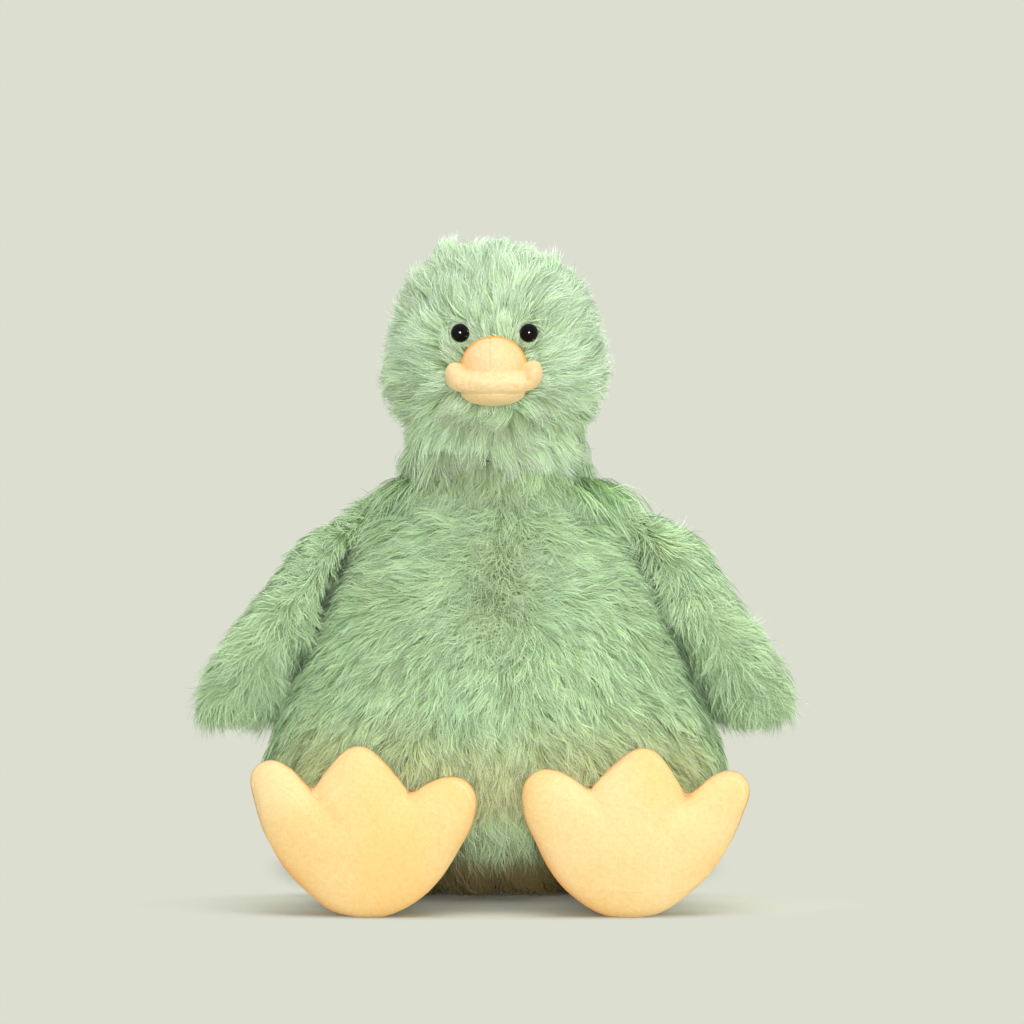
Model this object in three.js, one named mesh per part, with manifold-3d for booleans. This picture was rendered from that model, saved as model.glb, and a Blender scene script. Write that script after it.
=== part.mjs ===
// A seated plush duck: long-pile fur body, head, wings and tail, velour feet and beak, and safety eyes.
// Millimetres, +Z up. The duck looks along -Y, and the origin is the middle of its seat on the floor.
// Left and right are as the viewer sees them from the front.
// Each cloth panel is its own solid round its own filling, and each limb hangs from its own pivot.

import * as THREE from "three";
import { mergeVertices } from "three/addons/utils/BufferGeometryUtils.js";
import Module from "manifold-3d";

const wasm = await Module();
wasm.setup();

const { clamp, degToRad, lerp, smoothstep } = THREE.MathUtils;

// Clearances and cutters
const SEAM_GAP = 0.3; // between two pieces that are sewn or pressed together
const LIMB_GAP = 0.6; // between a limb's joint and the body that it swings against
const NECK_GAP = 0.9; // round the neck ball, whose facets have to turn freely
const OVERRUN = 5; // how far a cutter runs past what it cuts
const MERGE_DISTANCE = 0.001; // corners nearer than this are one corner

// Cloth
const FUR_THICKNESS = 6; // backing and pressed pile
const FUR_BACKING = 1.2;
const VELOUR_THICKNESS = 1.6;

// Body: a pear that stands on a flat seat and narrows to the neck
const NECK_HEIGHT = 188; // floor to the middle of the neck
const BODY_HALF_WIDTH = 117;
const BODY_FRONT_SHARE = 0.9; // depth to the belly, of the half width
const BODY_BACK_SHARE = 0.86;
// [radius, height] up the side, of the half width and the neck height
const BODY_SIDE_SHARES = [
  [0.65, 0],
  [0.82, 0.035],
  [0.95, 0.14],
  [1, 0.3],
  [0.93, 0.46],
  [0.82, 0.62],
  [0.665, 0.825],
  [0.51, 0.965],
  [0.435, 1.027],
  [0.36, 1.065],
  [0.24, 1.09],
  [0, 1.1],
];
const BODY_ROUND_FROM_SHARE = 0.6; // height where the flattened belly starts to turn round
const BASE_SEAM_HEIGHT = 10;
const BODY_SEGMENTS = 24; // also round the head and the neck ball
const BODY_RINGS = 15;
const LINING_SEGMENTS = 14; // round the inner face of a cloth shell and its filling
const LINING_RINGS = 9;

// Seat pouch of pellets, which keeps the duck upright
const POUCH_RADIUS = 56;
const POUCH_HEIGHT = 27;
const POUCH_SEGMENTS = 20;
const POUCH_RINGS = 6;
const POUCH_FULLNESS = 0.7;

// Neck: a firm ball of wadding that the head sits on
const NECK_RADIUS = 48;
const COLLAR_HEIGHT = 22; // how far the body's cloth climbs the ball, above its middle
const BALL_RINGS = 12;

// Head
const HEAD_HALF_WIDTH = 56;
const HEAD_HEIGHT = 129; // middle of the neck to the crown
const HEAD_FRONT_SHARE = 0.98;
const HEAD_BACK_SHARE = 0.96;
// [radius, height] up the side, of the half width and the head height
const HEAD_SIDE_SHARES = [
  [0, 0.135],
  [0.6, 0.14],
  [0.85, 0.155],
  [0.82, 0.22],
  [0.85, 0.29],
  [0.94, 0.375],
  [1, 0.475],
  [0.97, 0.6],
  [0.88, 0.735],
  [0.76, 0.84],
  [0.56, 0.93],
  [0.3, 0.985],
  [0, 1],
];
const HEAD_ROUND_TO_SHARE = 0.5; // height where the round underside has become the flatter face
const HEAD_RINGS = 14;

// Eyes: glossy domes on ribbed stems, locked by toothed washers inside the head
const EYE_SPACING = 34; // between the two eye middles
const EYE_HEIGHT = 82.5; // above the middle of the neck
const EYE_DIAMETER = 10;
const EYE_RIM = 1.6; // straight wall behind the dome
const EYE_DOME_RISE = 4.6;
const EYE_STEM_DIAMETER = 3;
const EYE_STEM_LENGTH = 13;
const EYE_RIB_PITCH = 1.6;
const EYE_RIB_RISE = 0.45;
const EYE_RIBS = 4;
const EYE_DOME_STEPS = 5;
const EYE_SEGMENTS = 12;
const WASHER_DIAMETER = 13;
const WASHER_THICKNESS = 1;
const WASHER_TEETH = 8;
const WASHER_TOOTH_DEPTH = 1.4;
const WASHER_TOOTH_SHARE = 0.55; // of each tooth's step that the tooth fills

// Beak: a spoon-shaped upper bill with a sewn ridge, over a smaller lower bill
const BEAK_HEIGHT = 61; // middle of the bill, above the middle of the neck
const BEAK_HALF_WIDTH = 23.5;
const BEAK_LENGTH = 28; // past the head's pile
const BEAK_ROOT = 12; // how far its cloth runs back before the head cuts it
const BEAK_TOP = 19.5;
const BEAK_BOTTOM = 7;
// [length, half width, top, bottom] from the root to the tip, of the sizes above
const BEAK_SECTION_SHARES = [
  [0, 0.68, 0.99, 0.8],
  [0.3, 0.69, 1, 0.82],
  [0.5, 0.76, 0.83, 0.92],
  [0.66, 0.93, 0.56, 1],
  [0.8, 1, 0.4, 1],
  [0.9, 0.93, 0.31, 0.86],
  [0.96, 0.77, 0.22, 0.62],
  [0.99, 0.45, 0.11, 0.3],
];
const BEAK_SQUARENESS = 2.5;
const BEAK_SEGMENTS = 16;
const LOWER_BILL_HALF_WIDTH = 14.5;
const LOWER_BILL_LENGTH = 21;
const LOWER_BILL_TOP = 3;
const LOWER_BILL_BOTTOM = 4.6;
const LOWER_BILL_DROP = 9.6; // its middle below the upper bill's middle

// Wings: thick teardrops that hang from the shoulder and lie against the body
const WING_LENGTH = 138;
const WING_HALF_DEPTH = 38;
const WING_OUTER_CROWN = 19;
const WING_INNER_CROWN = 24; // before the body's side presses it
const WING_ROOT_RADIUS = 8; // round the shoulder hinge
const WING_ROOT_SHARE = 0.96; // height of the shoulder, of the neck height
const WING_STANDOFF = degToRad(9); // away from the line of the body's side
// [depth, length] round the rear edge from the root to the tip, of the half depth and the length
const WING_EDGE_SHARES = [
  [0.5, 0.03],
  [0.74, 0.2],
  [0.96, 0.5],
  [0.98, 0.78],
  [0.66, 0.955],
];
const WING_CENTRE_SHARE = 0.66; // where the wing is thickest, of its length
const WING_POINTS = 18;
const WING_PILLOW = { rings: 4, fullness: 0.5, smoothing: 0 };

// Feet: three round toes on a velour pillow that stands on its heel
const FOOT_HALF_WIDTH = 51.6;
const FOOT_HEIGHT = 79;
const FOOT_SOLE_CROWN = 15;
const FOOT_TOP_CROWN = 16;
const HEEL_SPACING = 115; // between the two heels
const FOOT_SINK = 0.5; // pressed flat on the floor
const FOOT_RECLINE = degToRad(7); // toes back towards the belly
const FOOT_LEANS = { left: degToRad(1.4), right: degToRad(7) }; // outwards
const FOOT_CENTRE_SHARE = 0.46; // where the pillow is thickest, of its height
const FOOT_CURVE_STEPS = 6;
const FOOT_PILLOW = { rings: 3, fullness: 0.7, smoothing: 3 };
// Cubic curves round the sole, each its two handles and its end: [outwards, up], of half width and height
const FOOT_START_SHARES = [0, 0];
const FOOT_CURVE_SHARES = [
  [[0.43, 0.01], [0.9, 0.34], [1, 0.74]],
  [[1.07, 1], [0.66, 0.97], [0.42, 0.775]],
  [[0.22, 1.075], [-0.19, 1.075], [-0.44, 0.75]],
  [[-0.64, 0.84], [-1.03, 0.88], [-1, 0.65]],
  [[-0.97, 0.37], [-0.5, 0.01], [0, 0]],
];

// Legs: short fur stubs between the belly and the feet
const LEG_RADIUS = 14;
const LEG_NECK_RADIUS = 12;
const LEG_HEIGHT = 38;
const LEG_LENGTH = 26; // middle of the ball to the foot's seam plane
const LEG_SEGMENTS = 16;
const LEG_RINGS = 8;

// Tail: a short upturned tuft at the back
const TAIL_HEIGHT = 62;
const TAIL_LENGTH = 52;
const TAIL_ROOT = 16; // the part of its length inside the back, which is cut away
const TAIL_HALF_WIDTH = 27;
const TAIL_CROWN = 13;
const TAIL_RISE = degToRad(38); // from level
const TAIL_EDGE_SHARES = [
  [0.8, 0.05],
  [1, 0.38],
  [0.72, 0.75],
  [0.24, 0.98],
];
const TAIL_CENTRE_SHARE = 0.42;
const TAIL_POINTS = 16;
const TAIL_PILLOW = { rings: 3, fullness: 0.7, smoothing: 0 };

const EVEN_SHARE = 0.5; // halfway, where an outline is evened out

const CUTTER = 3 * (NECK_HEIGHT + HEAD_HEIGHT); // a block that is larger than the duck

const fur = new THREE.MeshStandardMaterial({ color: 0xa6cd97, roughness: 1, metalness: 0 });
const velour = new THREE.MeshStandardMaterial({ color: 0xfbd993, roughness: 0.95, metalness: 0 });
const wadding = new THREE.MeshStandardMaterial({ color: 0xf1efe8, roughness: 1, metalness: 0 });
const calico = new THREE.MeshStandardMaterial({ color: 0xe6dfcd, roughness: 1, metalness: 0 });
const eyePlastic = new THREE.MeshStandardMaterial({ color: 0x09090a, roughness: 0.08, metalness: 0 });
const washerPlastic = new THREE.MeshStandardMaterial({ color: 0xf4f3ee, roughness: 0.5, metalness: 0 });

// A closed geometry as a solid that can be joined and cut.
function solid(geometry) {
  const loose = geometry.index ? geometry.toNonIndexed() : geometry;
  const bare = new THREE.BufferGeometry();
  bare.setAttribute("position", loose.getAttribute("position"));
  const merged = mergeVertices(bare, MERGE_DISTANCE);
  const corners = merged.index.array;
  const kept = [];
  for (let i = 0; i < corners.length; i += 3) {
    const [a, b, c] = corners.subarray(i, i + 3);
    if (a !== b && b !== c && c !== a) kept.push(a, b, c);
  }
  return new wasm.Manifold(
    new wasm.Mesh({
      numProp: 3,
      vertProperties: merged.attributes.position.array,
      triVerts: new Uint32Array(kept),
    }),
  );
}

// A solid back as a geometry, moved so that the pivot is its origin.
function geometryOf(made, pivot) {
  const mesh = made.getMesh();
  const geometry = new THREE.BufferGeometry();
  geometry.setAttribute("position", new THREE.BufferAttribute(mesh.vertProperties, mesh.numProp));
  geometry.setIndex(new THREE.BufferAttribute(mesh.triVerts, 1));
  geometry.translate(-pivot.x, -pivot.y, -pivot.z);
  geometry.computeVertexNormals();
  return geometry;
}

// Everything on one side of a plane across the x, y or z axis.
function beyond(axis, sign, at) {
  const middle = new THREE.Vector3();
  middle[axis] = at + (sign * CUTTER) / 2;
  return solid(new THREE.BoxGeometry(CUTTER, CUTTER, CUTTER).translate(...middle));
}

function ball(radius, segments, rings, centre) {
  return solid(new THREE.SphereGeometry(radius, segments, rings).rotateX(Math.PI / 2).translate(...centre));
}

// Turns a [radius, height] outline round +Z.
function revolve(outline, segments) {
  const points = outline.map(([r, z]) => new THREE.Vector2(r, z));
  return new THREE.LatheGeometry(points, segments).rotateX(Math.PI / 2);
}

// The outline of a turned form, moved inwards by inset. It starts and ends on the axis.
function insetOutline(outline, inset) {
  const last = outline.length - 1;
  return outline.map(([r, z], i) => {
    const [r0, z0] = outline[Math.max(i - 1, 0)];
    const [r1, z1] = outline[Math.min(i + 1, last)];
    const length = Math.hypot(r1 - r0, z1 - z0);
    const moved = r - (inset * (z1 - z0)) / length;
    return [i === 0 || i === last ? 0 : Math.max(moved, 0), z + (inset * (r1 - r0)) / length];
  });
}

function splineOutline(shares, width, height, rings) {
  const curve = new THREE.SplineCurve(shares.map(([r, z]) => new THREE.Vector2(r * width, z * height)));
  return curve.getPoints(rings).map((p) => [p.x, p.y]);
}

// The radius of an outline at a height.
function radiusAt(outline, height) {
  const above = Math.max(outline.findIndex(([, z], i) => i > 1 && z >= height), 1);
  const [[r0, z0], [r1, z1]] = [outline[above - 1], outline[above]];
  return lerp(r0, r1, clamp((height - z0) / (z1 - z0), 0, 1));
}

// How deep the body is at a height, of its radius there. It is round at the neck.
function bodyDepthShare(isFront, height) {
  const flat = isFront ? BODY_FRONT_SHARE : BODY_BACK_SHARE;
  return lerp(flat, 1, smoothstep(height / NECK_HEIGHT, BODY_ROUND_FROM_SHARE, 1));
}

// The same for the head, which is round where it meets the neck ball.
function headDepthShare(isFront, height) {
  const flat = isFront ? HEAD_FRONT_SHARE : HEAD_BACK_SHARE;
  return lerp(1, flat, smoothstep((height - NECK_HEIGHT) / HEAD_HEIGHT, 0, HEAD_ROUND_TO_SHARE));
}

function flattenDepth(geometry, depthShare) {
  const at = geometry.getAttribute("position");
  for (let i = 0; i < at.count; i++) {
    at.setY(i, at.getY(i) * depthShare(at.getY(i) < 0, at.getZ(i)));
  }
  return geometry;
}

function bodySide(rings) {
  return [[0, 0], ...splineOutline(BODY_SIDE_SHARES, BODY_HALF_WIDTH, NECK_HEIGHT, rings)];
}

function headSide(rings) {
  const side = splineOutline(HEAD_SIDE_SHARES, HEAD_HALF_WIDTH, HEAD_HEIGHT, rings);
  return side.map(([r, z]) => [r, z + NECK_HEIGHT]);
}

const bodyOutline = bodySide(BODY_RINGS);
const headOutline = headSide(HEAD_RINGS);
const bodyWidest = bodyOutline.reduce((widest, [r, z]) => (r > widest.x ? new THREE.Vector2(r, z) : widest), {
  x: 0,
});
const neckCentre = new THREE.Vector3(0, 0, NECK_HEIGHT);

function pear(inset, segments = BODY_SEGMENTS, outline = bodyOutline) {
  return solid(flattenDepth(revolve(insetOutline(outline, inset), segments), bodyDepthShare));
}

function headForm(inset, segments = BODY_SEGMENTS, outline = headOutline) {
  return solid(flattenDepth(revolve(insetOutline(outline, inset), segments), headDepthShare));
}

// The inner faces of the cloth have fewer facets than its pile.
const bodyLining = (inset) => pear(inset, LINING_SEGMENTS, bodySide(LINING_RINGS));
const headLining = (inset) => headForm(inset, LINING_SEGMENTS, headSide(LINING_RINGS));

function neckBall(radius) {
  return ball(radius, BODY_SEGMENTS, BALL_RINGS, neckCentre);
}

// A point on the facets of the body or head and the way out of it. Azimuth 0 is +X, and +Y is a quarter on.
function surfacePoint(outline, depthShare, azimuth, height) {
  const step = (2 * Math.PI) / BODY_SEGMENTS;
  const fromEdge = THREE.MathUtils.euclideanModulo(azimuth + Math.PI / 2, step);
  const radius = (radiusAt(outline, height) * Math.cos(step / 2)) / Math.cos(fromEdge - step / 2);
  const rise = OVERRUN;
  const slope = (radiusAt(outline, height + rise) - radiusAt(outline, height - rise)) / (2 * rise);
  const share = depthShare(Math.sin(azimuth) < 0, height);
  const point = new THREE.Vector3(radius * Math.cos(azimuth), share * radius * Math.sin(azimuth), height);
  const normal = new THREE.Vector3(Math.cos(azimuth), Math.sin(azimuth) / share, -slope).normalize();
  return { point, normal };
}

// A closed outline moved inwards by inset. It runs anticlockwise.
function insetLoop(loop, inset) {
  return loop.map((p, i) => {
    const before = loop[(i + loop.length - 1) % loop.length];
    const after = loop[(i + 1) % loop.length];
    const along = after.clone().sub(before).normalize();
    return new THREE.Vector2(p.x - along.y * inset, p.y + along.x * inset);
  });
}

// A closed outline whose corners and notches are evened out, the more times the smoother.
function smoothLoop(loop, times) {
  if (times === 0) return loop;
  const count = loop.length;
  const smoothed = loop.map((p, i) => {
    const midway = loop[(i + 1) % count].clone().lerp(loop[(i + count - 1) % count], EVEN_SHARE);
    return midway.lerp(p, EVEN_SHARE);
  });
  return smoothLoop(smoothed, times - 1);
}

// A stuffed form on a closed outline in x and y, crowned along +z and -z. Its rings draw in to the middle.
// A lower fullness keeps it thick for longer towards its seam.
function pillow(loop, middle, [overCrown, underCrown], { rings, fullness, smoothing }) {
  const points = [];
  const faces = [];
  const count = loop.length;
  const ringAt = (k, crown) => {
    const turn = ((k / rings) * Math.PI) / 2;
    const draw = Math.cos(turn) ** fullness;
    return smoothLoop(loop, k * smoothing).map((p) => [
      lerp(middle.x, p.x, draw),
      lerp(middle.y, p.y, draw),
      crown * Math.sin(turn),
    ]);
  };
  points.push(...ringAt(0, 0));
  for (const [crown, over] of [[overCrown, true], [-underCrown, false]]) {
    let lower = 0;
    for (let k = 1; k < rings; k++) {
      const upper = points.length;
      points.push(...ringAt(k, crown));
      for (let i = 0; i < count; i++) {
        const next = (i + 1) % count;
        const quad = [lower + i, lower + next, upper + next, upper + i];
        const [a, b, c, d] = over ? quad : [quad[3], quad[2], quad[1], quad[0]];
        faces.push(a, b, c, a, c, d);
      }
      lower = upper;
    }
    const apex = points.length;
    points.push([middle.x, middle.y, crown]);
    for (let i = 0; i < count; i++) {
      const pair = [lower + i, lower + ((i + 1) % count)];
      faces.push(...(over ? pair : pair.reverse()), apex);
    }
  }
  const geometry = new THREE.BufferGeometry();
  geometry.setAttribute("position", new THREE.Float32BufferAttribute(points.flat(), 3));
  geometry.setIndex(faces);
  return geometry;
}

// A closed outline through the points of one edge and their mirror images, from the root end to the tip.
function mirroredLoop(edgeShares, halfWidth, length, count) {
  const edge = edgeShares.map(([x, y]) => new THREE.Vector3(x * halfWidth, y * length, 0));
  const other = [...edge].reverse().map((p) => new THREE.Vector3(-p.x, p.y, 0));
  const ends = [new THREE.Vector3(0, length, 0), new THREE.Vector3(0, 0, 0)];
  const curve = new THREE.CatmullRomCurve3([ends[1], ...edge, ends[0], ...other], true, "centripetal");
  return curve.getPoints(count).slice(0, -1).map((p) => new THREE.Vector2(p.x, p.y));
}

const duck = new THREE.Group();
duck.name = "plush_duck";

// A group whose origin is the pivot, so that turning it moves the limb as the seam lets it.
function limb(name, pivot) {
  const group = new THREE.Group();
  group.name = name;
  group.position.copy(pivot);
  duck.add(group);
  const add = (node, made, material) => {
    const mesh = new THREE.Mesh(geometryOf(made, pivot), material);
    mesh.name = node;
    group.add(mesh);
  };
  return add;
}

// Body panels, filling, pellet pouch and tail
const collarTop = NECK_HEIGHT + COLLAR_HEIGHT;
const bodyCloth = pear(0)
  .add(neckBall(NECK_RADIUS).intersect(beyond("z", -1, collarTop)))
  .subtract(bodyLining(FUR_THICKNESS))
  .subtract(neckBall(NECK_RADIUS - FUR_THICKNESS));
const addToBody = limb("body", new THREE.Vector3());

const aboveBase = bodyCloth.intersect(beyond("z", 1, BASE_SEAM_HEIGHT + SEAM_GAP / 2));
for (const [place, depthSign] of [["front", -1], ["back", 1]]) {
  const half = aboveBase.intersect(beyond("y", depthSign, (depthSign * SEAM_GAP) / 2));
  for (const [side, sign] of [["left", -1], ["right", 1]]) {
    const panel = half.intersect(beyond("x", sign, (sign * SEAM_GAP) / 2));
    addToBody(`body_${place}_${side}_panel`, panel, fur);
  }
}
addToBody("body_base_panel", bodyCloth.intersect(beyond("z", -1, BASE_SEAM_HEIGHT - SEAM_GAP / 2)), fur);

// The pouch lies on the base panel. Its outline is the upper half of a rounded cushion.
function pouchForm(grown) {
  const floor = FUR_THICKNESS + SEAM_GAP - grown;
  const outline = [[0, floor]];
  for (let i = 0; i <= POUCH_RINGS; i++) {
    const turn = ((i / POUCH_RINGS) * Math.PI) / 2;
    const radius = (POUCH_RADIUS + grown) * Math.cos(turn) ** POUCH_FULLNESS;
    outline.push([i === POUCH_RINGS ? 0 : radius, floor + grown + (POUCH_HEIGHT + grown) * Math.sin(turn)]);
  }
  return solid(revolve(outline, POUCH_SEGMENTS));
}
addToBody("pellet_pouch", pouchForm(0), calico);
addToBody(
  "body_stuffing",
  bodyLining(FUR_THICKNESS + SEAM_GAP)
    .subtract(neckBall(NECK_RADIUS - FUR_THICKNESS + SEAM_GAP))
    .subtract(pouchForm(SEAM_GAP)),
  wadding,
);

// The tail's pillow lies across the back and points up and out of it
function tailForm(inset) {
  const loop = insetLoop(mirroredLoop(TAIL_EDGE_SHARES, TAIL_HALF_WIDTH, TAIL_LENGTH, TAIL_POINTS), inset);
  const middle = new THREE.Vector2(0, TAIL_LENGTH * TAIL_CENTRE_SHARE);
  const crown = TAIL_CROWN - inset;
  const root = surfacePoint(bodyOutline, bodyDepthShare, Math.PI / 2, TAIL_HEIGHT).point;
  return pillow(loop, middle, [crown, crown], TAIL_PILLOW)
    .translate(0, -TAIL_ROOT, 0)
    .rotateX(TAIL_RISE)
    .translate(...root);
}
// The plane of the tail's seam, as a block over or under it
function tailSide(sign) {
  const root = surfacePoint(bodyOutline, bodyDepthShare, Math.PI / 2, TAIL_HEIGHT).point;
  const middle = sign * (CUTTER / 2 + SEAM_GAP / 2);
  const block = new THREE.BoxGeometry(CUTTER, CUTTER, CUTTER).translate(0, 0, middle);
  return solid(block.rotateX(TAIL_RISE).translate(...root));
}
const tailCloth = solid(tailForm(0))
  .subtract(pear(-SEAM_GAP))
  .subtract(solid(tailForm(FUR_THICKNESS)).subtract(pear(-SEAM_GAP - FUR_BACKING)));
addToBody("tail_upper_panel", tailCloth.intersect(tailSide(1)), fur);
addToBody("tail_lower_panel", tailCloth.intersect(tailSide(-1)), fur);
addToBody(
  "tail_stuffing",
  solid(tailForm(FUR_THICKNESS + SEAM_GAP)).subtract(pear(-2 * SEAM_GAP - FUR_BACKING)),
  wadding,
);

// Neck ball: it fills the collar, and its cap carries the head
const addToNeck = limb("neck", neckCentre);
addToNeck(
  "neck_wadding",
  neckBall(NECK_RADIUS - FUR_THICKNESS - NECK_GAP).add(
    neckBall(NECK_RADIUS).intersect(beyond("z", 1, collarTop + SEAM_GAP)),
  ),
  wadding,
);

// Head panels and filling, with pockets for the eyes
const addToHead = limb("head", neckCentre);
const neckHollow = neckBall(NECK_RADIUS + NECK_GAP);

// An eye's dome, rim and ribbed stem. Its seat on the cloth is at 0 and it looks along +Z.
function eyeForm() {
  const radius = EYE_DIAMETER / 2;
  const stem = EYE_STEM_DIAMETER / 2;
  const outline = [
    [0, -EYE_STEM_LENGTH],
    [stem - EYE_RIB_RISE, -EYE_STEM_LENGTH],
  ];
  for (let i = 0; i < EYE_RIBS; i++) {
    const foot = -EYE_STEM_LENGTH + (i + 1) * EYE_RIB_PITCH;
    outline.push([stem, foot], [stem - EYE_RIB_RISE, foot + EYE_RIB_RISE]);
  }
  outline.push([stem - EYE_RIB_RISE, 0], [radius, 0]);
  for (let i = 0; i < EYE_DOME_STEPS; i++) {
    const turn = ((i / EYE_DOME_STEPS) * Math.PI) / 2;
    outline.push([radius * Math.cos(turn), EYE_RIM + EYE_DOME_RISE * Math.sin(turn)]);
  }
  outline.push([0, EYE_RIM + EYE_DOME_RISE]);
  return revolve(outline, EYE_SEGMENTS);
}

// A straight round cutter along +Z
function rod(radius, from, to) {
  const length = to - from;
  return new THREE.CylinderGeometry(radius, radius, length, EYE_SEGMENTS)
    .rotateX(Math.PI / 2)
    .translate(0, 0, from + length / 2);
}

// The toothed washer that grips the stem, with its outer face at 0.
function washerForm() {
  const bore = EYE_STEM_DIAMETER / 2 + SEAM_GAP;
  const rootRadius = bore + WASHER_TOOTH_DEPTH;
  let made = solid(rod(WASHER_DIAMETER / 2, -WASHER_THICKNESS, 0)).subtract(
    solid(rod(rootRadius, -WASHER_THICKNESS - SEAM_GAP, SEAM_GAP)),
  );
  const step = (2 * Math.PI) / WASHER_TEETH;
  const width = step * rootRadius * WASHER_TOOTH_SHARE;
  const length = WASHER_TOOTH_DEPTH + SEAM_GAP; // rooted in the ring
  for (let i = 0; i < WASHER_TEETH; i++) {
    const tooth = new THREE.BoxGeometry(length, width, WASHER_THICKNESS);
    tooth.translate(bore + length / 2, 0, -WASHER_THICKNESS / 2).rotateZ(i * step);
    made = made.add(solid(tooth));
  }
  return geometryOf(made, new THREE.Vector3());
}

// The place of an eye's seat: on the cloth's backing, looking straight out of the head
function eyePlace(sign) {
  const height = NECK_HEIGHT + EYE_HEIGHT;
  const radius = radiusAt(headOutline, height);
  const azimuth = -Math.PI / 2 + sign * Math.asin(clamp(EYE_SPACING / 2 / radius, 0, 1));
  const { point, normal } = surfacePoint(headOutline, headDepthShare, azimuth, height);
  const seat = point.clone().addScaledVector(normal, FUR_BACKING - FUR_THICKNESS);
  const turn = new THREE.Quaternion().setFromUnitVectors(new THREE.Vector3(0, 0, 1), normal);
  return new THREE.Matrix4().compose(seat, turn, new THREE.Vector3(1, 1, 1));
}

let headCloth = headForm(0).subtract(headLining(FUR_THICKNESS)).subtract(neckHollow);
let headFilling = headLining(FUR_THICKNESS + SEAM_GAP).subtract(neckHollow);
const washerSeat = -FUR_BACKING - SEAM_GAP;
for (const [side, sign] of [["left", -1], ["right", 1]]) {
  const place = eyePlace(sign);
  const cutter = (geometry) => solid(geometry.clone().applyMatrix4(place));
  const pocket = rod(EYE_DIAMETER / 2 + SEAM_GAP, -SEAM_GAP, FUR_THICKNESS + OVERRUN);
  const hole = rod(EYE_STEM_DIAMETER / 2 + SEAM_GAP, -EYE_STEM_LENGTH - SEAM_GAP, OVERRUN);
  const washerRoom = rod(
    WASHER_DIAMETER / 2 + SEAM_GAP,
    washerSeat - WASHER_THICKNESS - SEAM_GAP,
    washerSeat + SEAM_GAP,
  );
  const washerWay = rod(
    WASHER_DIAMETER / 2 + SEAM_GAP,
    washerSeat - WASHER_THICKNESS - SEAM_GAP,
    OVERRUN,
  );
  headCloth = headCloth.subtract(cutter(pocket)).subtract(cutter(hole)).subtract(cutter(washerRoom));
  headFilling = headFilling.subtract(cutter(washerWay)).subtract(cutter(hole));
  addToHead(`eye_${side}`, cutter(eyeForm()), eyePlastic);
  addToHead(`eye_washer_${side}`, cutter(washerForm().translate(0, 0, washerSeat)), washerPlastic);
}

const face = headCloth.intersect(beyond("y", -1, -SEAM_GAP / 2));
addToHead("head_left_panel", face.intersect(beyond("x", -1, -SEAM_GAP / 2)), fur);
addToHead("head_right_panel", face.intersect(beyond("x", 1, SEAM_GAP / 2)), fur);
addToHead("head_back_panel", headCloth.intersect(beyond("y", 1, SEAM_GAP / 2)), fur);
addToHead("head_stuffing", headFilling, wadding);

// A bill along -Y: rounded sections from the root to a closed tip. Heights are from the bill's own middle.
function bill(sizes, inset) {
  const length = sizes.root + sizes.length - inset;
  const rings = BEAK_SECTION_SHARES.map(([along, width, top, bottom]) => ({
    y: sizes.root - along * length,
    halfWidth: Math.max(width * sizes.halfWidth - inset, SEAM_GAP),
    top: Math.max(top * sizes.top - inset, SEAM_GAP),
    bottom: Math.max(bottom * sizes.bottom - inset, SEAM_GAP),
  }));
  const points = [[0, rings[0].y, 0]];
  for (const ring of rings) {
    for (let i = 0; i < BEAK_SEGMENTS; i++) {
      const turn = (i / BEAK_SEGMENTS) * 2 * Math.PI;
      const [c, s] = [Math.cos(turn), Math.sin(turn)];
      const round = (v) => Math.sign(v) * Math.abs(v) ** (2 / BEAK_SQUARENESS);
      points.push([ring.halfWidth * round(c), ring.y, (s > 0 ? ring.top : ring.bottom) * round(s)]);
    }
  }
  points.push([0, sizes.root - length, 0]);
  const faces = [];
  const at = (ring, i) => 1 + ring * BEAK_SEGMENTS + (i % BEAK_SEGMENTS);
  const tip = points.length - 1;
  for (let i = 0; i < BEAK_SEGMENTS; i++) {
    faces.push(0, at(0, i + 1), at(0, i));
    for (let k = 0; k + 1 < rings.length; k++) {
      faces.push(at(k, i), at(k, i + 1), at(k + 1, i + 1), at(k, i), at(k + 1, i + 1), at(k + 1, i));
    }
    faces.push(at(rings.length - 1, i), at(rings.length - 1, i + 1), tip);
  }
  const geometry = new THREE.BufferGeometry();
  geometry.setAttribute("position", new THREE.Float32BufferAttribute(points.flat(), 3));
  geometry.setIndex(faces);
  return geometry;
}

const beakFace = surfacePoint(headOutline, headDepthShare, -Math.PI / 2, NECK_HEIGHT + BEAK_HEIGHT).point;
const upperSizes = {
  root: BEAK_ROOT,
  length: BEAK_LENGTH,
  halfWidth: BEAK_HALF_WIDTH,
  top: BEAK_TOP,
  bottom: BEAK_BOTTOM,
};
const lowerSizes = {
  root: BEAK_ROOT,
  length: LOWER_BILL_LENGTH,
  halfWidth: LOWER_BILL_HALF_WIDTH,
  top: LOWER_BILL_TOP,
  bottom: LOWER_BILL_BOTTOM,
};
const upperBill = (inset) => solid(bill(upperSizes, inset).translate(...beakFace));
const lowerBill = (inset) =>
  solid(bill(lowerSizes, inset).translate(beakFace.x, beakFace.y, beakFace.z - LOWER_BILL_DROP));
const headGrown = headForm(-SEAM_GAP);

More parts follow.
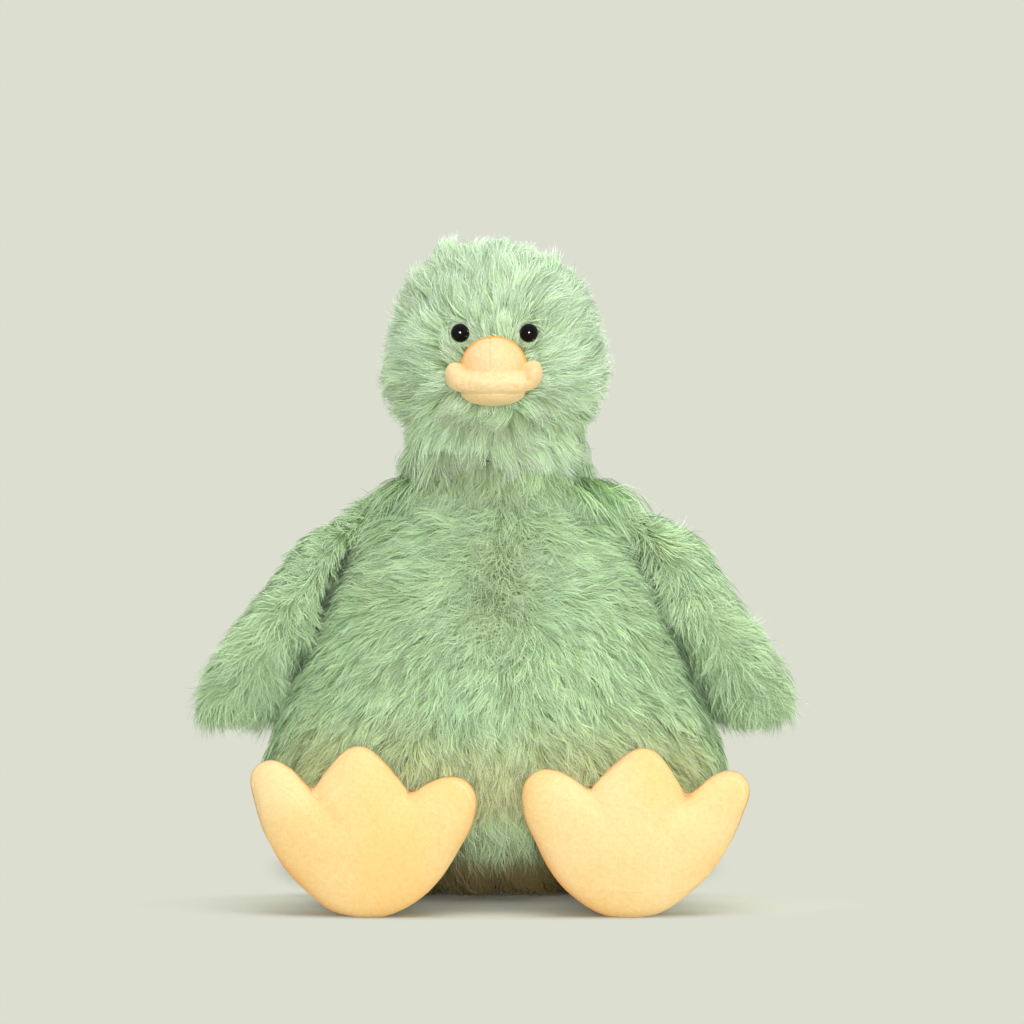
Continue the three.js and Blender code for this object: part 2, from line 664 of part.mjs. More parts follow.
const upperCloth = upperBill(0).subtract(upperBill(VELOUR_THICKNESS)).subtract(headGrown);
addToHead("beak_upper_left_panel", upperCloth.intersect(beyond("x", -1, -SEAM_GAP / 2)), velour);
addToHead("beak_upper_right_panel", upperCloth.intersect(beyond("x", 1, SEAM_GAP / 2)), velour);
addToHead("beak_upper_stuffing", upperBill(VELOUR_THICKNESS + SEAM_GAP).subtract(headGrown), wadding);
const underUpper = upperBill(-SEAM_GAP).add(headGrown);
addToHead(
  "beak_lower_panel",
  lowerBill(0).subtract(lowerBill(VELOUR_THICKNESS)).subtract(underUpper),
  velour,
);
addToHead(
  "beak_lower_stuffing",
  lowerBill(VELOUR_THICKNESS + SEAM_GAP).subtract(underUpper),
  wadding,
);

// A pair of limbs is modelled on the right and mirrored to the left.
function onSide(sign, made) {
  if (sign > 0) return made;
  const flipped = geometryOf(made, new THREE.Vector3()).toNonIndexed();
  const at = flipped.getAttribute("position");
  for (let i = 0; i < at.count; i += 3) {
    const [a, b, c] = [0, 1, 2].map((k) => new THREE.Vector3().fromBufferAttribute(at, i + k));
    [a, c, b].forEach((p, k) => at.setXYZ(i + k, -p.x, p.y, p.z));
  }
  return solid(flipped);
}

// A block that ends at the plane z = at of a piece's own frame, on one side of it
function ownSide(place, sign, at) {
  const block = new THREE.BoxGeometry(CUTTER, CUTTER, CUTTER).translate(0, 0, at + (sign * CUTTER) / 2);
  return solid(block.applyMatrix4(place));
}

// Wings: each pivots on the shoulder, a root's radius outside the body's pile
const shoulder = surfacePoint(bodyOutline, bodyDepthShare, 0, NECK_HEIGHT * WING_ROOT_SHARE);
const wingPivot = shoulder.point.clone().addScaledVector(shoulder.normal, WING_ROOT_RADIUS + LIMB_GAP);

// The body's side slopes from the shoulder to where it is widest, and the wing hangs along it.
const sideDrop = shoulder.point.z - bodyWidest.y;
const wingHang = Math.atan((bodyWidest.x - shoulder.point.x) / sideDrop) + WING_STANDOFF;

// From the wing's own frame, with its length along -y and its outer face along +z, to the duck's
const wingPlace = new THREE.Matrix4()
  .makeBasis(
    new THREE.Vector3(0, 1, 0),
    new THREE.Vector3(-Math.sin(wingHang), 0, Math.cos(wingHang)),
    new THREE.Vector3(Math.cos(wingHang), 0, Math.sin(wingHang)),
  )
  .setPosition(wingPivot);

// The wing's pillow, kept below the hinge or within its round root, and pressed by the body's side
function wingForm(inset) {
  const loop = mirroredLoop(WING_EDGE_SHARES, WING_HALF_DEPTH, WING_LENGTH, WING_POINTS);
  const middle = new THREE.Vector2(0, WING_LENGTH * WING_CENTRE_SHARE);
  const crowns = [WING_INNER_CROWN - inset, WING_OUTER_CROWN - inset];
  const form = pillow(insetLoop(loop, inset), middle, crowns, WING_PILLOW)
    .translate(0, -WING_ROOT_RADIUS, 0)
    .rotateX(Math.PI);
  const below = new THREE.BoxGeometry(CUTTER, CUTTER, CUTTER).translate(0, -CUTTER / 2, 0);
  const rootRadius = WING_ROOT_RADIUS - inset;
  const root = new THREE.CylinderGeometry(rootRadius, rootRadius, CUTTER, LEG_SEGMENTS);
  const room = solid(below).add(solid(root.rotateZ(Math.PI / 2)));
  const kept = geometryOf(solid(form).intersect(room), new THREE.Vector3());
  return solid(kept.applyMatrix4(wingPlace)).subtract(pear(-SEAM_GAP - inset));
}

const wingCloth = wingForm(0).subtract(wingForm(FUR_THICKNESS));
const wingFilling = wingForm(FUR_THICKNESS + SEAM_GAP);
for (const [side, sign] of [["left", -1], ["right", 1]]) {
  const addToWing = limb(`wing_${side}`, wingPivot.clone().setX(sign * wingPivot.x));
  for (const [name, face] of [["outer", 1], ["inner", -1]]) {
    const panel = wingCloth.intersect(ownSide(wingPlace, face, (face * SEAM_GAP) / 2));
    addToWing(`wing_${side}_${name}_panel`, onSide(sign, panel), fur);
  }
  addToWing(`wing_${side}_stuffing`, onSide(sign, wingFilling), wadding);
}

// Feet and legs: each pivots on the leg's ball, which lies against the belly
function footLoop() {
  const at = ([u, v]) => new THREE.Vector2(u * FOOT_HALF_WIDTH, v * FOOT_HEIGHT);
  const loop = [];
  let from = at(FOOT_START_SHARES);
  for (const [first, second, end] of FOOT_CURVE_SHARES) {
    const curve = new THREE.CubicBezierCurve(from, at(first), at(second), at(end));
    loop.push(...curve.getPoints(FOOT_CURVE_STEPS).slice(0, -1));
    from = at(end);
  }
  return loop;
}

const hipReach = radiusAt(bodyOutline, LEG_HEIGHT) + LEG_RADIUS;
const hipAzimuth = -Math.acos(clamp(HEEL_SPACING / 2 / hipReach, 0, 1));
const hip = surfacePoint(bodyOutline, bodyDepthShare, hipAzimuth, LEG_HEIGHT);
const legPivot = hip.point.clone().addScaledVector(hip.normal, LEG_RADIUS + LIMB_GAP);
const heelForward = LEG_LENGTH + (legPivot.z + FOOT_SINK) * Math.tan(FOOT_RECLINE);
const heel = new THREE.Vector3(HEEL_SPACING / 2, legPivot.y - heelForward, -FOOT_SINK);

// From the foot's own frame, with its toes along +y and its sole along +z, to the duck's
function footPlace(side) {
  return new THREE.Matrix4()
    .makeTranslation(heel)
    .multiply(new THREE.Matrix4().makeRotationX(Math.PI / 2 - FOOT_RECLINE))
    .multiply(new THREE.Matrix4().makeRotationZ(-FOOT_LEANS[side]));
}

function footForm(side, inset) {
  const middle = new THREE.Vector2(0, FOOT_HEIGHT * FOOT_CENTRE_SHARE);
  const crowns = [FOOT_SOLE_CROWN - inset, FOOT_TOP_CROWN - inset];
  const form = pillow(insetLoop(footLoop(), inset), middle, crowns, FOOT_PILLOW);
  return solid(form.applyMatrix4(footPlace(side))).intersect(beyond("z", 1, Math.max(inset, 0)));
}

for (const [side, sign] of [["left", -1], ["right", 1]]) {
  const addToFoot = limb(`foot_${side}`, legPivot.clone().setX(sign * legPivot.x));
  const cloth = footForm(side, 0).subtract(footForm(side, VELOUR_THICKNESS));
  for (const [name, face] of [["sole", 1], ["top", -1]]) {
    const panel = cloth.intersect(ownSide(footPlace(side), face, (face * SEAM_GAP) / 2));
    addToFoot(`foot_${side}_${name}_panel`, onSide(sign, panel), velour);
  }
  const filling = footForm(side, VELOUR_THICKNESS + SEAM_GAP);
  addToFoot(`foot_${side}_stuffing`, onSide(sign, filling), wadding);
  const stub = new THREE.CylinderGeometry(LEG_NECK_RADIUS, LEG_NECK_RADIUS, LEG_LENGTH, LEG_SEGMENTS);
  stub.translate(legPivot.x, legPivot.y - LEG_LENGTH / 2, legPivot.z);
  const leg = ball(LEG_RADIUS, LEG_SEGMENTS, LEG_RINGS, legPivot).add(solid(stub));
  addToFoot(`leg_${side}`, onSide(sign, leg.subtract(footForm(side, -SEAM_GAP))), fur);
}

export default duck;
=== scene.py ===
"""The plush duck's looks: long green pile, velour bill and feet, domed eyes and a plain studio.

Lengths in the size classes are in millimetres, in the CAD's frame: +Z is up, the duck looks along -Y and
left is -X. Meshes are in metres.
"""

from __future__ import annotations

import logging
import math
from dataclasses import dataclass, field, replace
from enum import Enum

import bmesh
import bpy
import numpy as np
from mathutils import Matrix, Vector


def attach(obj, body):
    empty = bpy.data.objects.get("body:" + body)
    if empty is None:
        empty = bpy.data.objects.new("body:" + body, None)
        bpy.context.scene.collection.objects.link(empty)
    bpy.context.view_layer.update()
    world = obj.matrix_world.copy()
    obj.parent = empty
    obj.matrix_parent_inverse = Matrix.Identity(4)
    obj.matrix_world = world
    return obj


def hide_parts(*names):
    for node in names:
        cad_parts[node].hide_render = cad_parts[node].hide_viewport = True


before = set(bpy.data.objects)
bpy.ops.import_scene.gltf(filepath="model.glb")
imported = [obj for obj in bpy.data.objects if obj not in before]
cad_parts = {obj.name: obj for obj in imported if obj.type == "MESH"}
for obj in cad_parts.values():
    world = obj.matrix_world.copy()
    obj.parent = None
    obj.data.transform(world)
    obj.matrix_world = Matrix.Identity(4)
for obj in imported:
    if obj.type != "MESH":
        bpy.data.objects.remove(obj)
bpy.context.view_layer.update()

logging.basicConfig(level=logging.INFO, format="%(name)s: %(message)s")
log = logging.getLogger("duck")

MM = 0.001
AROUND = 96
Colour = tuple[float, float, float]
Face = tuple[int, ...]


def linear(red: int, green: int, blue: int) -> Colour:
    """Turns a colour into the linear values that nodes take.

    Args:
        red: Its red in sRGB, from 0 to 255.
        green: Its green.
        blue: Its blue.

    Returns:
        The linear values, from 0 to 1.
    """
    def one(value: int) -> float:
        """Turns one channel."""
        share = value / 255
        return share / 12.92 if share <= 0.04045 else ((share + 0.055) / 1.055) ** 2.4
    return one(red), one(green), one(blue)


def shade(colour: Colour, share: float) -> Colour:
    """Gives a darker shade of a linear colour."""
    return tuple(c * share for c in colour)


def unit(vectors: np.ndarray) -> np.ndarray:
    """Scales each row to length one."""
    return vectors / np.maximum(np.linalg.norm(vectors, axis=-1, keepdims=True), 1e-9)


def ease(values: np.ndarray, low: float, high: float) -> np.ndarray:
    """Goes smoothly from 0 at low to 1 at high."""
    t = np.clip((values - low) / (high - low), 0, 1)
    return t * t * (3 - 2 * t)


def ripple(points: np.ndarray, span: float, seed: int) -> np.ndarray:
    """Gives a smooth random vector at each point.

    Args:
        points: The places, in millimetres.
        span: About how far apart two unlike places are.
        seed: Which field it is.

    Returns:
        Vectors of about unit length.
    """
    chance = np.random.default_rng(seed)
    total = np.zeros_like(points)
    for _ in range(9):
        wave = unit(chance.normal(size=3)) / span * chance.uniform(0.6, 1.6)
        total += np.sin(points @ wave + chance.uniform(0, 6.3))[:, None] * chance.normal(size=3)
    return total / 3


def spline(points: np.ndarray, steps: int) -> np.ndarray:
    """Runs an even Catmull-Rom curve through points, which is how the CAD draws its outlines.

    Args:
        points: The points that the curve passes, one a row.
        steps: Spans between two neighbouring points.

    Returns:
        The points along the curve, both ends among them.
    """
    padded = np.vstack([points[:1], points, points[-1:]])
    t = np.linspace(0, 1, steps, endpoint=False)[:, None]
    rows = []
    for i in range(len(points) - 1):
        p0, p1, p2, p3 = padded[i:i + 4]
        v0, v1 = (p2 - p0) / 2, (p3 - p1) / 2
        rows.append((2 * p1 - 2 * p2 + v0 + v1) * t**3 + (-3 * p1 + 3 * p2 - 2 * v0 - v1) * t**2 + v0 * t + p1)
    return np.vstack([*rows, points[-1:]])


def ring_faces(rows: int, count: int) -> list[Face]:
    """Joins rows of points that run round a form, each to the next."""
    return [(k * count + j, k * count + (j + 1) % count, (k + 1) * count + (j + 1) % count, (k + 1) * count + j)
            for k in range(rows - 1) for j in range(count)]


def facing(faces: list[Face], same: bool) -> list[Face]:
    """Gives faces as they are, or else looking the other way."""
    return faces if same else [f[::-1] for f in faces]


def plain_mesh(name: str, points: np.ndarray, edges: list[Face], faces: list[Face]) -> bpy.types.Mesh:
    """Makes a mesh.

    Args:
        name: The mesh's name.
        points: Its points, in millimetres.
        edges: Its loose edges.
        faces: Its faces.

    Returns:
        The mesh, in metres.
    """
    data = bpy.data.meshes.new(name)
    data.from_pydata((points * MM).tolist(), edges, faces)
    return data


def link(name: str, data: bpy.types.ID) -> bpy.types.Object:
    """Makes an object and puts it in the scene.

    Args:
        name: The object's name.
        data: Its mesh, camera or light.

    Returns:
        The object.
    """
    made = bpy.data.objects.new(name, data)
    bpy.context.scene.collection.objects.link(made)
    return made


def evaluated(made: bpy.types.Object, layers: bool = False) -> bpy.types.Mesh:
    """Gives what an object's modifiers make of it.

    Args:
        made: The object.
        layers: Whether all its attributes are kept.

    Returns:
        A plain mesh.
    """
    graph = bpy.context.evaluated_depsgraph_get()
    return bpy.data.meshes.new_from_object(made.evaluated_get(graph), preserve_all_data_layers=layers,
                                           depsgraph=graph)


def read_points(data: bpy.types.Mesh) -> np.ndarray:
    """Reads a mesh's points.

    Args:
        data: The mesh.

    Returns:
        The points, in millimetres.
    """
    flat = np.zeros(len(data.vertices) * 3)
    data.vertices.foreach_get("co", flat)
    return flat.reshape(-1, 3) / MM


def write_points(data: bpy.types.Mesh, points: np.ndarray) -> None:
    """Moves a mesh's points to places in millimetres."""
    data.vertices.foreach_set("co", (points * MM).ravel())
    data.update()


def write_values(data: bpy.types.Mesh, name: str, values: np.ndarray) -> None:
    """Keeps a number or a vector for each point of a mesh, as an attribute."""
    form, slot = ("FLOAT_VECTOR", "vector") if values.ndim == 2 else ("FLOAT", "value")
    data.attributes.new(name, form, "POINT").data.foreach_set(slot, values.astype(np.float32).ravel())


class Wire:
    """An output of a node, on which Python's operators add the nodes for the sum."""

    def __init__(self, plan: Plan, socket: bpy.types.NodeSocket) -> None:
        """Keeps the socket and the plan that it belongs to."""
        self.plan, self.socket = plan, socket

    @property
    def is_vector(self) -> bool:
        """Whether the socket carries a vector or a colour."""
        return self.socket.type in {"VECTOR", "RGBA"}

    def _with(self, other: Value, operation: str, flip: bool = False) -> Wire:
        """Adds a Math node for two numbers, or a Vector Math node where either is a vector.

        Args:
            other: The other value or wire.
            operation: The operation's name, which is the same in both nodes.
            flip: Whether the other one comes first.

        Returns:
            The node's result.
        """
        first, second = (other, self) if flip else (self, other)
        other_is_vector = isinstance(other, tuple) or (isinstance(other, Wire) and other.is_vector)
        if not self.is_vector and not other_is_vector:
            return self.plan.maths(operation, first, second)
        if operation == "MULTIPLY" and not other_is_vector:
            return self.plan.vector("SCALE", self, scale=other)
        if operation == "MULTIPLY" and not self.is_vector and isinstance(other, Wire):
            return self.plan.vector("SCALE", other, scale=self)
        return self.plan.vector(operation, first, second)

    def __add__(self, other: Value) -> Wire:
        """Adds."""
        return self._with(other, "ADD")

    __radd__ = __add__

    def __sub__(self, other: Value) -> Wire:
        """Takes the other from this."""
        return self._with(other, "SUBTRACT")

    def __rsub__(self, other: Value) -> Wire:
        """Takes this from the other."""
        return self._with(other, "SUBTRACT", flip=True)

    def __mul__(self, other: Value) -> Wire:
        """Multiplies."""
        return self._with(other, "MULTIPLY")

    __rmul__ = __mul__

    def __truediv__(self, other: Value) -> Wire:
        """Divides by the other."""
        return self._with(other, "DIVIDE")

    def __pow__(self, other: Value) -> Wire:
        """Raises a number to a power."""
        return self.plan.maths("POWER", self, other)

    def __lt__(self, other: Value) -> Wire:
        """Is 1 where this is the smaller."""
        return self.plan.maths("LESS_THAN", self, other)


Value = Wire | float | tuple


class Made:
    """A node that a plan has added."""

    def __init__(self, plan: Plan, node: bpy.types.Node) -> None:
        """Keeps the node."""
        self.plan, self.node = plan, node

    def __getitem__(self, name: str | int) -> Wire:
        """Gives an output by its name or number."""
        return Wire(self.plan, find_socket(self.node.outputs, name))


def find_socket(sockets: bpy.types.bpy_prop_collection, name: str | int) -> bpy.types.NodeSocket:
    """Finds a node's socket.

    Args:
        sockets: The node's inputs or outputs.
        name: The socket's name or number. Of several with one name, the first in use counts.

    Returns:
        The socket.
    """
    if isinstance(name, int):
        return sockets[name]
    for socket in sockets:
        if socket.name == name and socket.enabled:
            return socket
    raise KeyError(f"no socket {name!r} among {[s.name for s in sockets]}")


class Plan:
    """Builds a shader tree or a geometry tree."""

    def __init__(self, tree: bpy.types.NodeTree) -> None:
        """Starts on a tree."""
        self.tree = tree

    def add(self, kind: str, settings: dict | None = None, sockets: dict | None = None) -> Made:
        """Adds a node.

        Args:
            kind: Blender's type name of the node.
            settings: Properties, set first. "stops" fills a colour ramp and "captures" names a capture's items.
            sockets: Values or wires by input name or number.

        Returns:
            The node, whose outputs are read by name.
        """
        node = self.tree.nodes.new(kind)
        for name, value in (settings or {}).items():
            if name == "stops":
                ramp = node.color_ramp
                while len(ramp.elements) < len(value):
                    ramp.elements.new(0.5)
                for element, (place, colour) in zip(ramp.elements, value):
                    element.position, element.color = place, (*colour, 1)
            elif name == "captures":
                for item, form in value.items():
                    node.capture_items.new(form, item)
            else:
                setattr(node, name, value)
        for name, value in (sockets or {}).items():
            self.feed(find_socket(node.inputs, name), value)
        return Made(self, node)

    def feed(self, socket: bpy.types.NodeSocket, value: Value) -> None:
        """Links a wire to an input, or sets the input's own value.

        Args:
            socket: The input.
            value: The wire or the value.
        """
        if isinstance(value, Wire):
            self.tree.links.new(value.socket, socket)
        elif isinstance(value, tuple) and socket.type == "RGBA":
            socket.default_value = (*value[:3], 1)
        else:
            socket.default_value = value

    def maths(self, operation: str, *values: Value) -> Wire:
        """Adds a Math node."""
        return self.add("ShaderNodeMath", {"operation": operation}, dict(enumerate(values)))[0]

    def vector(self, operation: str, *values: Value, scale: Value | None = None) -> Wire:
        """Adds a Vector Math node.

        Args:
            operation: The node's operation.
            values: Its inputs. A number alone goes to all three axes.
            scale: What SCALE multiplies by.

        Returns:
            The resulting vector, or the number that a product or a length gives.
        """
        sockets = {i: v if isinstance(v, (Wire, tuple)) else (v, v, v) for i, v in enumerate(values)}
        if scale is not None:
            sockets["Scale"] = scale
        made = self.add("ShaderNodeVectorMath", {"operation": operation}, sockets)
        return made["Value"] if operation in {"DOT_PRODUCT", "LENGTH"} else made["Vector"]

    def combine(self, x: Value, y: Value, z: Value = 0.0) -> Wire:
        """Makes a vector of three numbers."""
        return self.add("ShaderNodeCombineXYZ", None, {"X": x, "Y": y, "Z": z})["Vector"]

    def blend(self, share: Value, low: Value, high: Value) -> Wire:
        """Mixes two colours."""
        settings = {"data_type": "RGBA", "blend_type": "MIX", "clamp_factor": True}
        return self.add("ShaderNodeMix", settings, {"Factor": share, "A": low, "B": high})["Result"]

    def attribute(self, name: str) -> Wire:
        """Reads a number that a piece keeps at its points, in a shader."""
        return self.add("ShaderNodeAttribute", {"attribute_type": "GEOMETRY", "attribute_name": name})["Fac"]

    def place(self) -> Wire:
        """Gives the place on a piece in metres, in a shader."""
        return self.add("ShaderNodeTexCoord")["Object"]

    def bump(self, strength: float, distance: float, height: Wire) -> Wire:
        """Turns a height into the way that the surface faces."""
        sockets = {"Strength": strength, "Distance": distance, "Height": height}
        return self.add("ShaderNodeBump", None, sockets)["Normal"]

    def noise(self, place: Wire, scale: float, detail: float = 2.0, output: str = "Fac", rough: float = 0.5) -> Wire:
        """Adds a noise texture. Its number runs about from 0 to 1."""
        sockets = {"Vector": place, "Scale": scale, "Detail": detail, "Roughness": rough}
        return self.add("ShaderNodeTexNoise", {"noise_dimensions": "3D"}, sockets)[output]

    def fit(self, value: Value, low: float, high: float, to: tuple[float, float] = (0.0, 1.0)) -> Wire:
        """Maps a number from one range to another and stops at its ends."""
        sockets = {"Value": value, "From Min": low, "From Max": high, "To Min": to[0], "To Max": to[1]}
        return self.add("ShaderNodeMapRange", {"interpolation_type": "SMOOTHSTEP"}, sockets)["Result"]

    def named(self, name: str, form: str = "FLOAT") -> Wire:
        """Reads a named attribute in a geometry tree."""
        return self.add("GeometryNodeInputNamedAttribute", {"data_type": form}, {"Name": name})["Attribute"]

    def chance(self, low: float, high: float, seed: int, number: Wire | None = None) -> Wire:
        """Gives random values between two numbers.

        Args:
            low: The lowest.
            high: The highest.
            seed: Which row of random values it is.
            number: What tells the elements apart, where that isn't their own index.

        Returns:
            A value for each element.
        """
        sockets: dict = {"Min": low, "Max": high, "Seed": seed}
        if number is not None:
            sockets["ID"] = number
        return self.add("FunctionNodeRandomValue", {"data_type": "FLOAT"}, sockets)["Value"]


class Finish:
    """A material. A subclass writes its nodes in build."""

    label: str

    def build(self, plan: Plan, surface: bpy.types.Node) -> None:
        """Feeds the surface's sockets."""
        raise NotImplementedError

    def material(self) -> bpy.types.Material:
        """Gives the finish's material, made once.

        Returns:
            The material.
        """
        found = bpy.data.materials.get(self.label)
        if found:
            return found
        made = bpy.data.materials.new(self.label)
        made.use_nodes = True
        plan = Plan(made.node_tree)
        self.build(plan, made.node_tree.nodes["Principled BSDF"])
        return made


def dress_surface(plan: Plan, surface: bpy.types.Node, **values: Value) -> None:
    """Sets a Principled surface's sockets, named with underscores for spaces."""
    for name, value in values.items():
        plan.feed(surface.inputs[name.replace("_", " ").title().replace("Ior", "IOR")], value)


@dataclass(frozen=True)
class PileFinish(Finish):
    """Faux fur strands, darker at the root, which paints the shade deep in the pile, and paler at the tip.

    Each strand has its own tone, and soft patches over the piece lean to yellow or to blue green. A piece's painted
    light mixes in painted warm light bounced from the bill and the feet where it is above 0, and painted shade where
    it is below.
    """

    label: str
    root: Colour
    middle: Colour
    tip: Colour
    warm: Colour = linear(205, 214, 150)
    cool: Colour = linear(150, 200, 160)
    # the colour of the painted warm light bounced from the bill and the feet
    painted_bounce_colour: Colour = linear(222, 190, 112)
    # the colour of the painted shade
    painted_shade_colour: Colour = linear(114, 90, 22)
    sheen: Colour = linear(215, 238, 205)

    def build(self, plan: Plan, surface: bpy.types.Node) -> None:
        """Feeds the surface's sockets.

        Args:
            plan: The material's nodes.
            surface: Its Principled node.
        """
        tone, blush = plan.attribute("tone"), plan.attribute("blush")
        # the darker root paints the shade deep in the pile
        stops = [(0.0, self.root), (0.42, self.middle), (1.0, self.tip)]
        base = plan.add("ShaderNodeValToRGB", {"stops": stops}, {"Fac": plan.attribute("along")})["Color"]
        patch = plan.noise(plan.place(), 26, 2)
        base = plan.blend(plan.fit(patch, 0.52, 0.72, (0.0, 0.16)), base, self.warm)
        base = plan.blend(plan.fit(patch, 0.48, 0.3, (0.0, 0.16)), base, self.cool)
        # painted light above 0 mixes in painted warm bounce light, and below 0 painted shade
        base = plan.blend(plan.fit(blush, 0, 1), base, self.painted_bounce_colour)
        base = plan.blend(plan.fit(blush, 0, -1), base, self.painted_shade_colour)
        base = plan.blend(plan.fit(tone, 0.5, 0.1, (0.0, 0.42)), base, self.root)
        dress_surface(plan, surface, base_color=base * plan.fit(tone, 0.1, 0.9, (0.76, 1.22)), roughness=0.72,
                      specular_ior_level=0.25, sheen_weight=0.25, sheen_roughness=0.5, sheen_tint=self.sheen)


@dataclass(frozen=True)
class VelourFinish(Finish):
    """Short brushed pile in soft paler and deeper patches with faint pale folds, painted shade by its seams, creases
    and notches, the bill's welt in its own deeper orange, and a painted highlight along the feet's grooves.
    """

    label: str
    colour: Colour
    pale: Colour
    seam: Colour

    def build(self, plan: Plan, surface: bpy.types.Node) -> None:
        """Feeds the surface's sockets.

        Args:
            plan: The material's nodes.
            surface: Its Principled node.
        """
        place, edge = plan.place(), plan.attribute("edge")
        fine, nap = plan.noise(place, 1500, 3), plan.noise(place, 420, 3)
        brushed = plan.noise(place, 15, 2) * 0.85 + plan.noise(place, 900, 2) * 0.15
        fold = plan.maths("ABSOLUTE", plan.noise(place + (0.31, 0.0, 0.0), 26, 1) - 0.5)
        base = plan.blend(plan.fit(brushed, 0.36, 0.64), self.colour, self.pale)
        base = plan.blend(plan.fit(nap, 0.35, 0.75, (0.0, 0.14)), base, self.seam)
        base = plan.blend(plan.fit(fold, 0.012, 0.0, (0.0, 0.7)) * plan.fit(brushed, 0.42, 0.56), base, self.pale)
        # edge above 0 is painted shade by seams, creases and notches, and on the bill also the welt's own orange;
        # below 0 is a painted highlight
        base = plan.blend(plan.fit(edge, 0, 1), base, self.seam)
        base = plan.blend(plan.fit(edge, 0, -1, (0.0, 0.8)), base, self.pale)
        height = fine + nap * 0.8 + plan.fit(fold, 0.03, 0.0, (0.0, 0.7))
        dress_surface(plan, surface, base_color=base * plan.fit(fine, 0.25, 0.75, (0.95, 1.04)), roughness=0.92,
                      specular_ior_level=0.15, sheen_weight=0.5, sheen_roughness=0.4, sheen_tint=self.pale,
                      normal=plan.bump(0.35, 0.0008, height))


@dataclass(frozen=True)
class GrainFinish(Finish):
    """A fine even grain, as on knitted cloth, thread, loose fill and moulded plastic.

    Its dark is a colour of its own, or a share of the pale one.
    """

    label: str
    pale: Colour
    dark: Colour | float
    roughness: float
    scale: float
    bump: tuple[float, float]
    detail: float = 1.0
    rough: float = 0.5

    def build(self, plan: Plan, surface: bpy.types.Node) -> None:
        """Feeds the surface's sockets.

        Args:
            plan: The material's nodes.
            surface: Its Principled node.
        """
        dark = self.dark if isinstance(self.dark, tuple) else shade(self.pale, self.dark)
        grain = plan.noise(plan.place(), self.scale, self.detail, rough=self.rough)
        dress_surface(plan, surface, base_color=plan.blend(grain, dark, self.pale), roughness=self.roughness,
                      normal=plan.bump(*self.bump, grain))


@dataclass(frozen=True)
class EyeFinish(Finish):
    """Polished black plastic with a faint swirl from its mould."""

    label: str = "eye_plastic"

    def build(self, plan: Plan, surface: bpy.types.Node) -> None:
        """Feeds the surface's sockets.

        Args:
            plan: The material's nodes.
            surface: Its Principled node.
        """
        swirl = plan.noise(plan.place(), 300, 2)
        base = plan.blend(swirl, (0.002, 0.002, 0.0025), (0.008, 0.008, 0.009))
        dress_surface(plan, surface, base_color=base, roughness=plan.fit(swirl, 0.2, 0.8, (0.05, 0.09)),
                      specular_ior_level=0.1)


class Pelt(Enum):
    """The furs, which differ a little in tone."""

    BODY = PileFinish("body_pile", linear(122, 150, 84), linear(180, 216, 155), linear(216, 239, 203))
    HEAD = PileFinish("head_pile", linear(128, 160, 96), linear(198, 229, 181), linear(231, 246, 225))
    WING = PileFinish("wing_pile", linear(122, 150, 84), linear(182, 217, 157), linear(216, 239, 203))


# Each seam colour also serves as painted shade: on the feet by the seam and notches, on the bill in its creases, where
# it is also the welt's own orange.
FOOT_VELOUR = VelourFinish("velour_of_feet", linear(250, 210, 136), linear(252, 223, 164), linear(243, 158, 80))
BEAK_VELOUR = VelourFinish("velour_of_bill", linear(246, 206, 142), linear(250, 221, 172), linear(241, 154, 42))
BACKING = GrainFinish("pile_backing", linear(126, 152, 92), 0.7, 0.95, 900, (0.4, 0.0004))
BEAK_THREAD = GrainFinish("bill_thread", linear(222, 140, 62), 0.75, 0.6, 2400, (0.3, 0.0001))
FOOT_THREAD = GrainFinish("foot_thread", linear(246, 204, 132), 0.75, 0.6, 2400, (0.3, 0.0001))
WADDING = GrainFinish("loose_wadding", linear(240, 237, 229), 0.82, 0.97, 160, (0.6, 0.002), 5, 0.7)
CALICO = GrainFinish("unbleached_calico", linear(228, 218, 200), 0.82, 0.97, 900, (0.6, 0.002), 5, 0.7)
WASHER_PLASTIC = GrainFinish("washer_plastic", linear(245, 244, 238), linear(232, 230, 222), 0.45, 700,
                             (0.1, 0.0002), 2)
EYE_PLASTIC = EyeFinish()


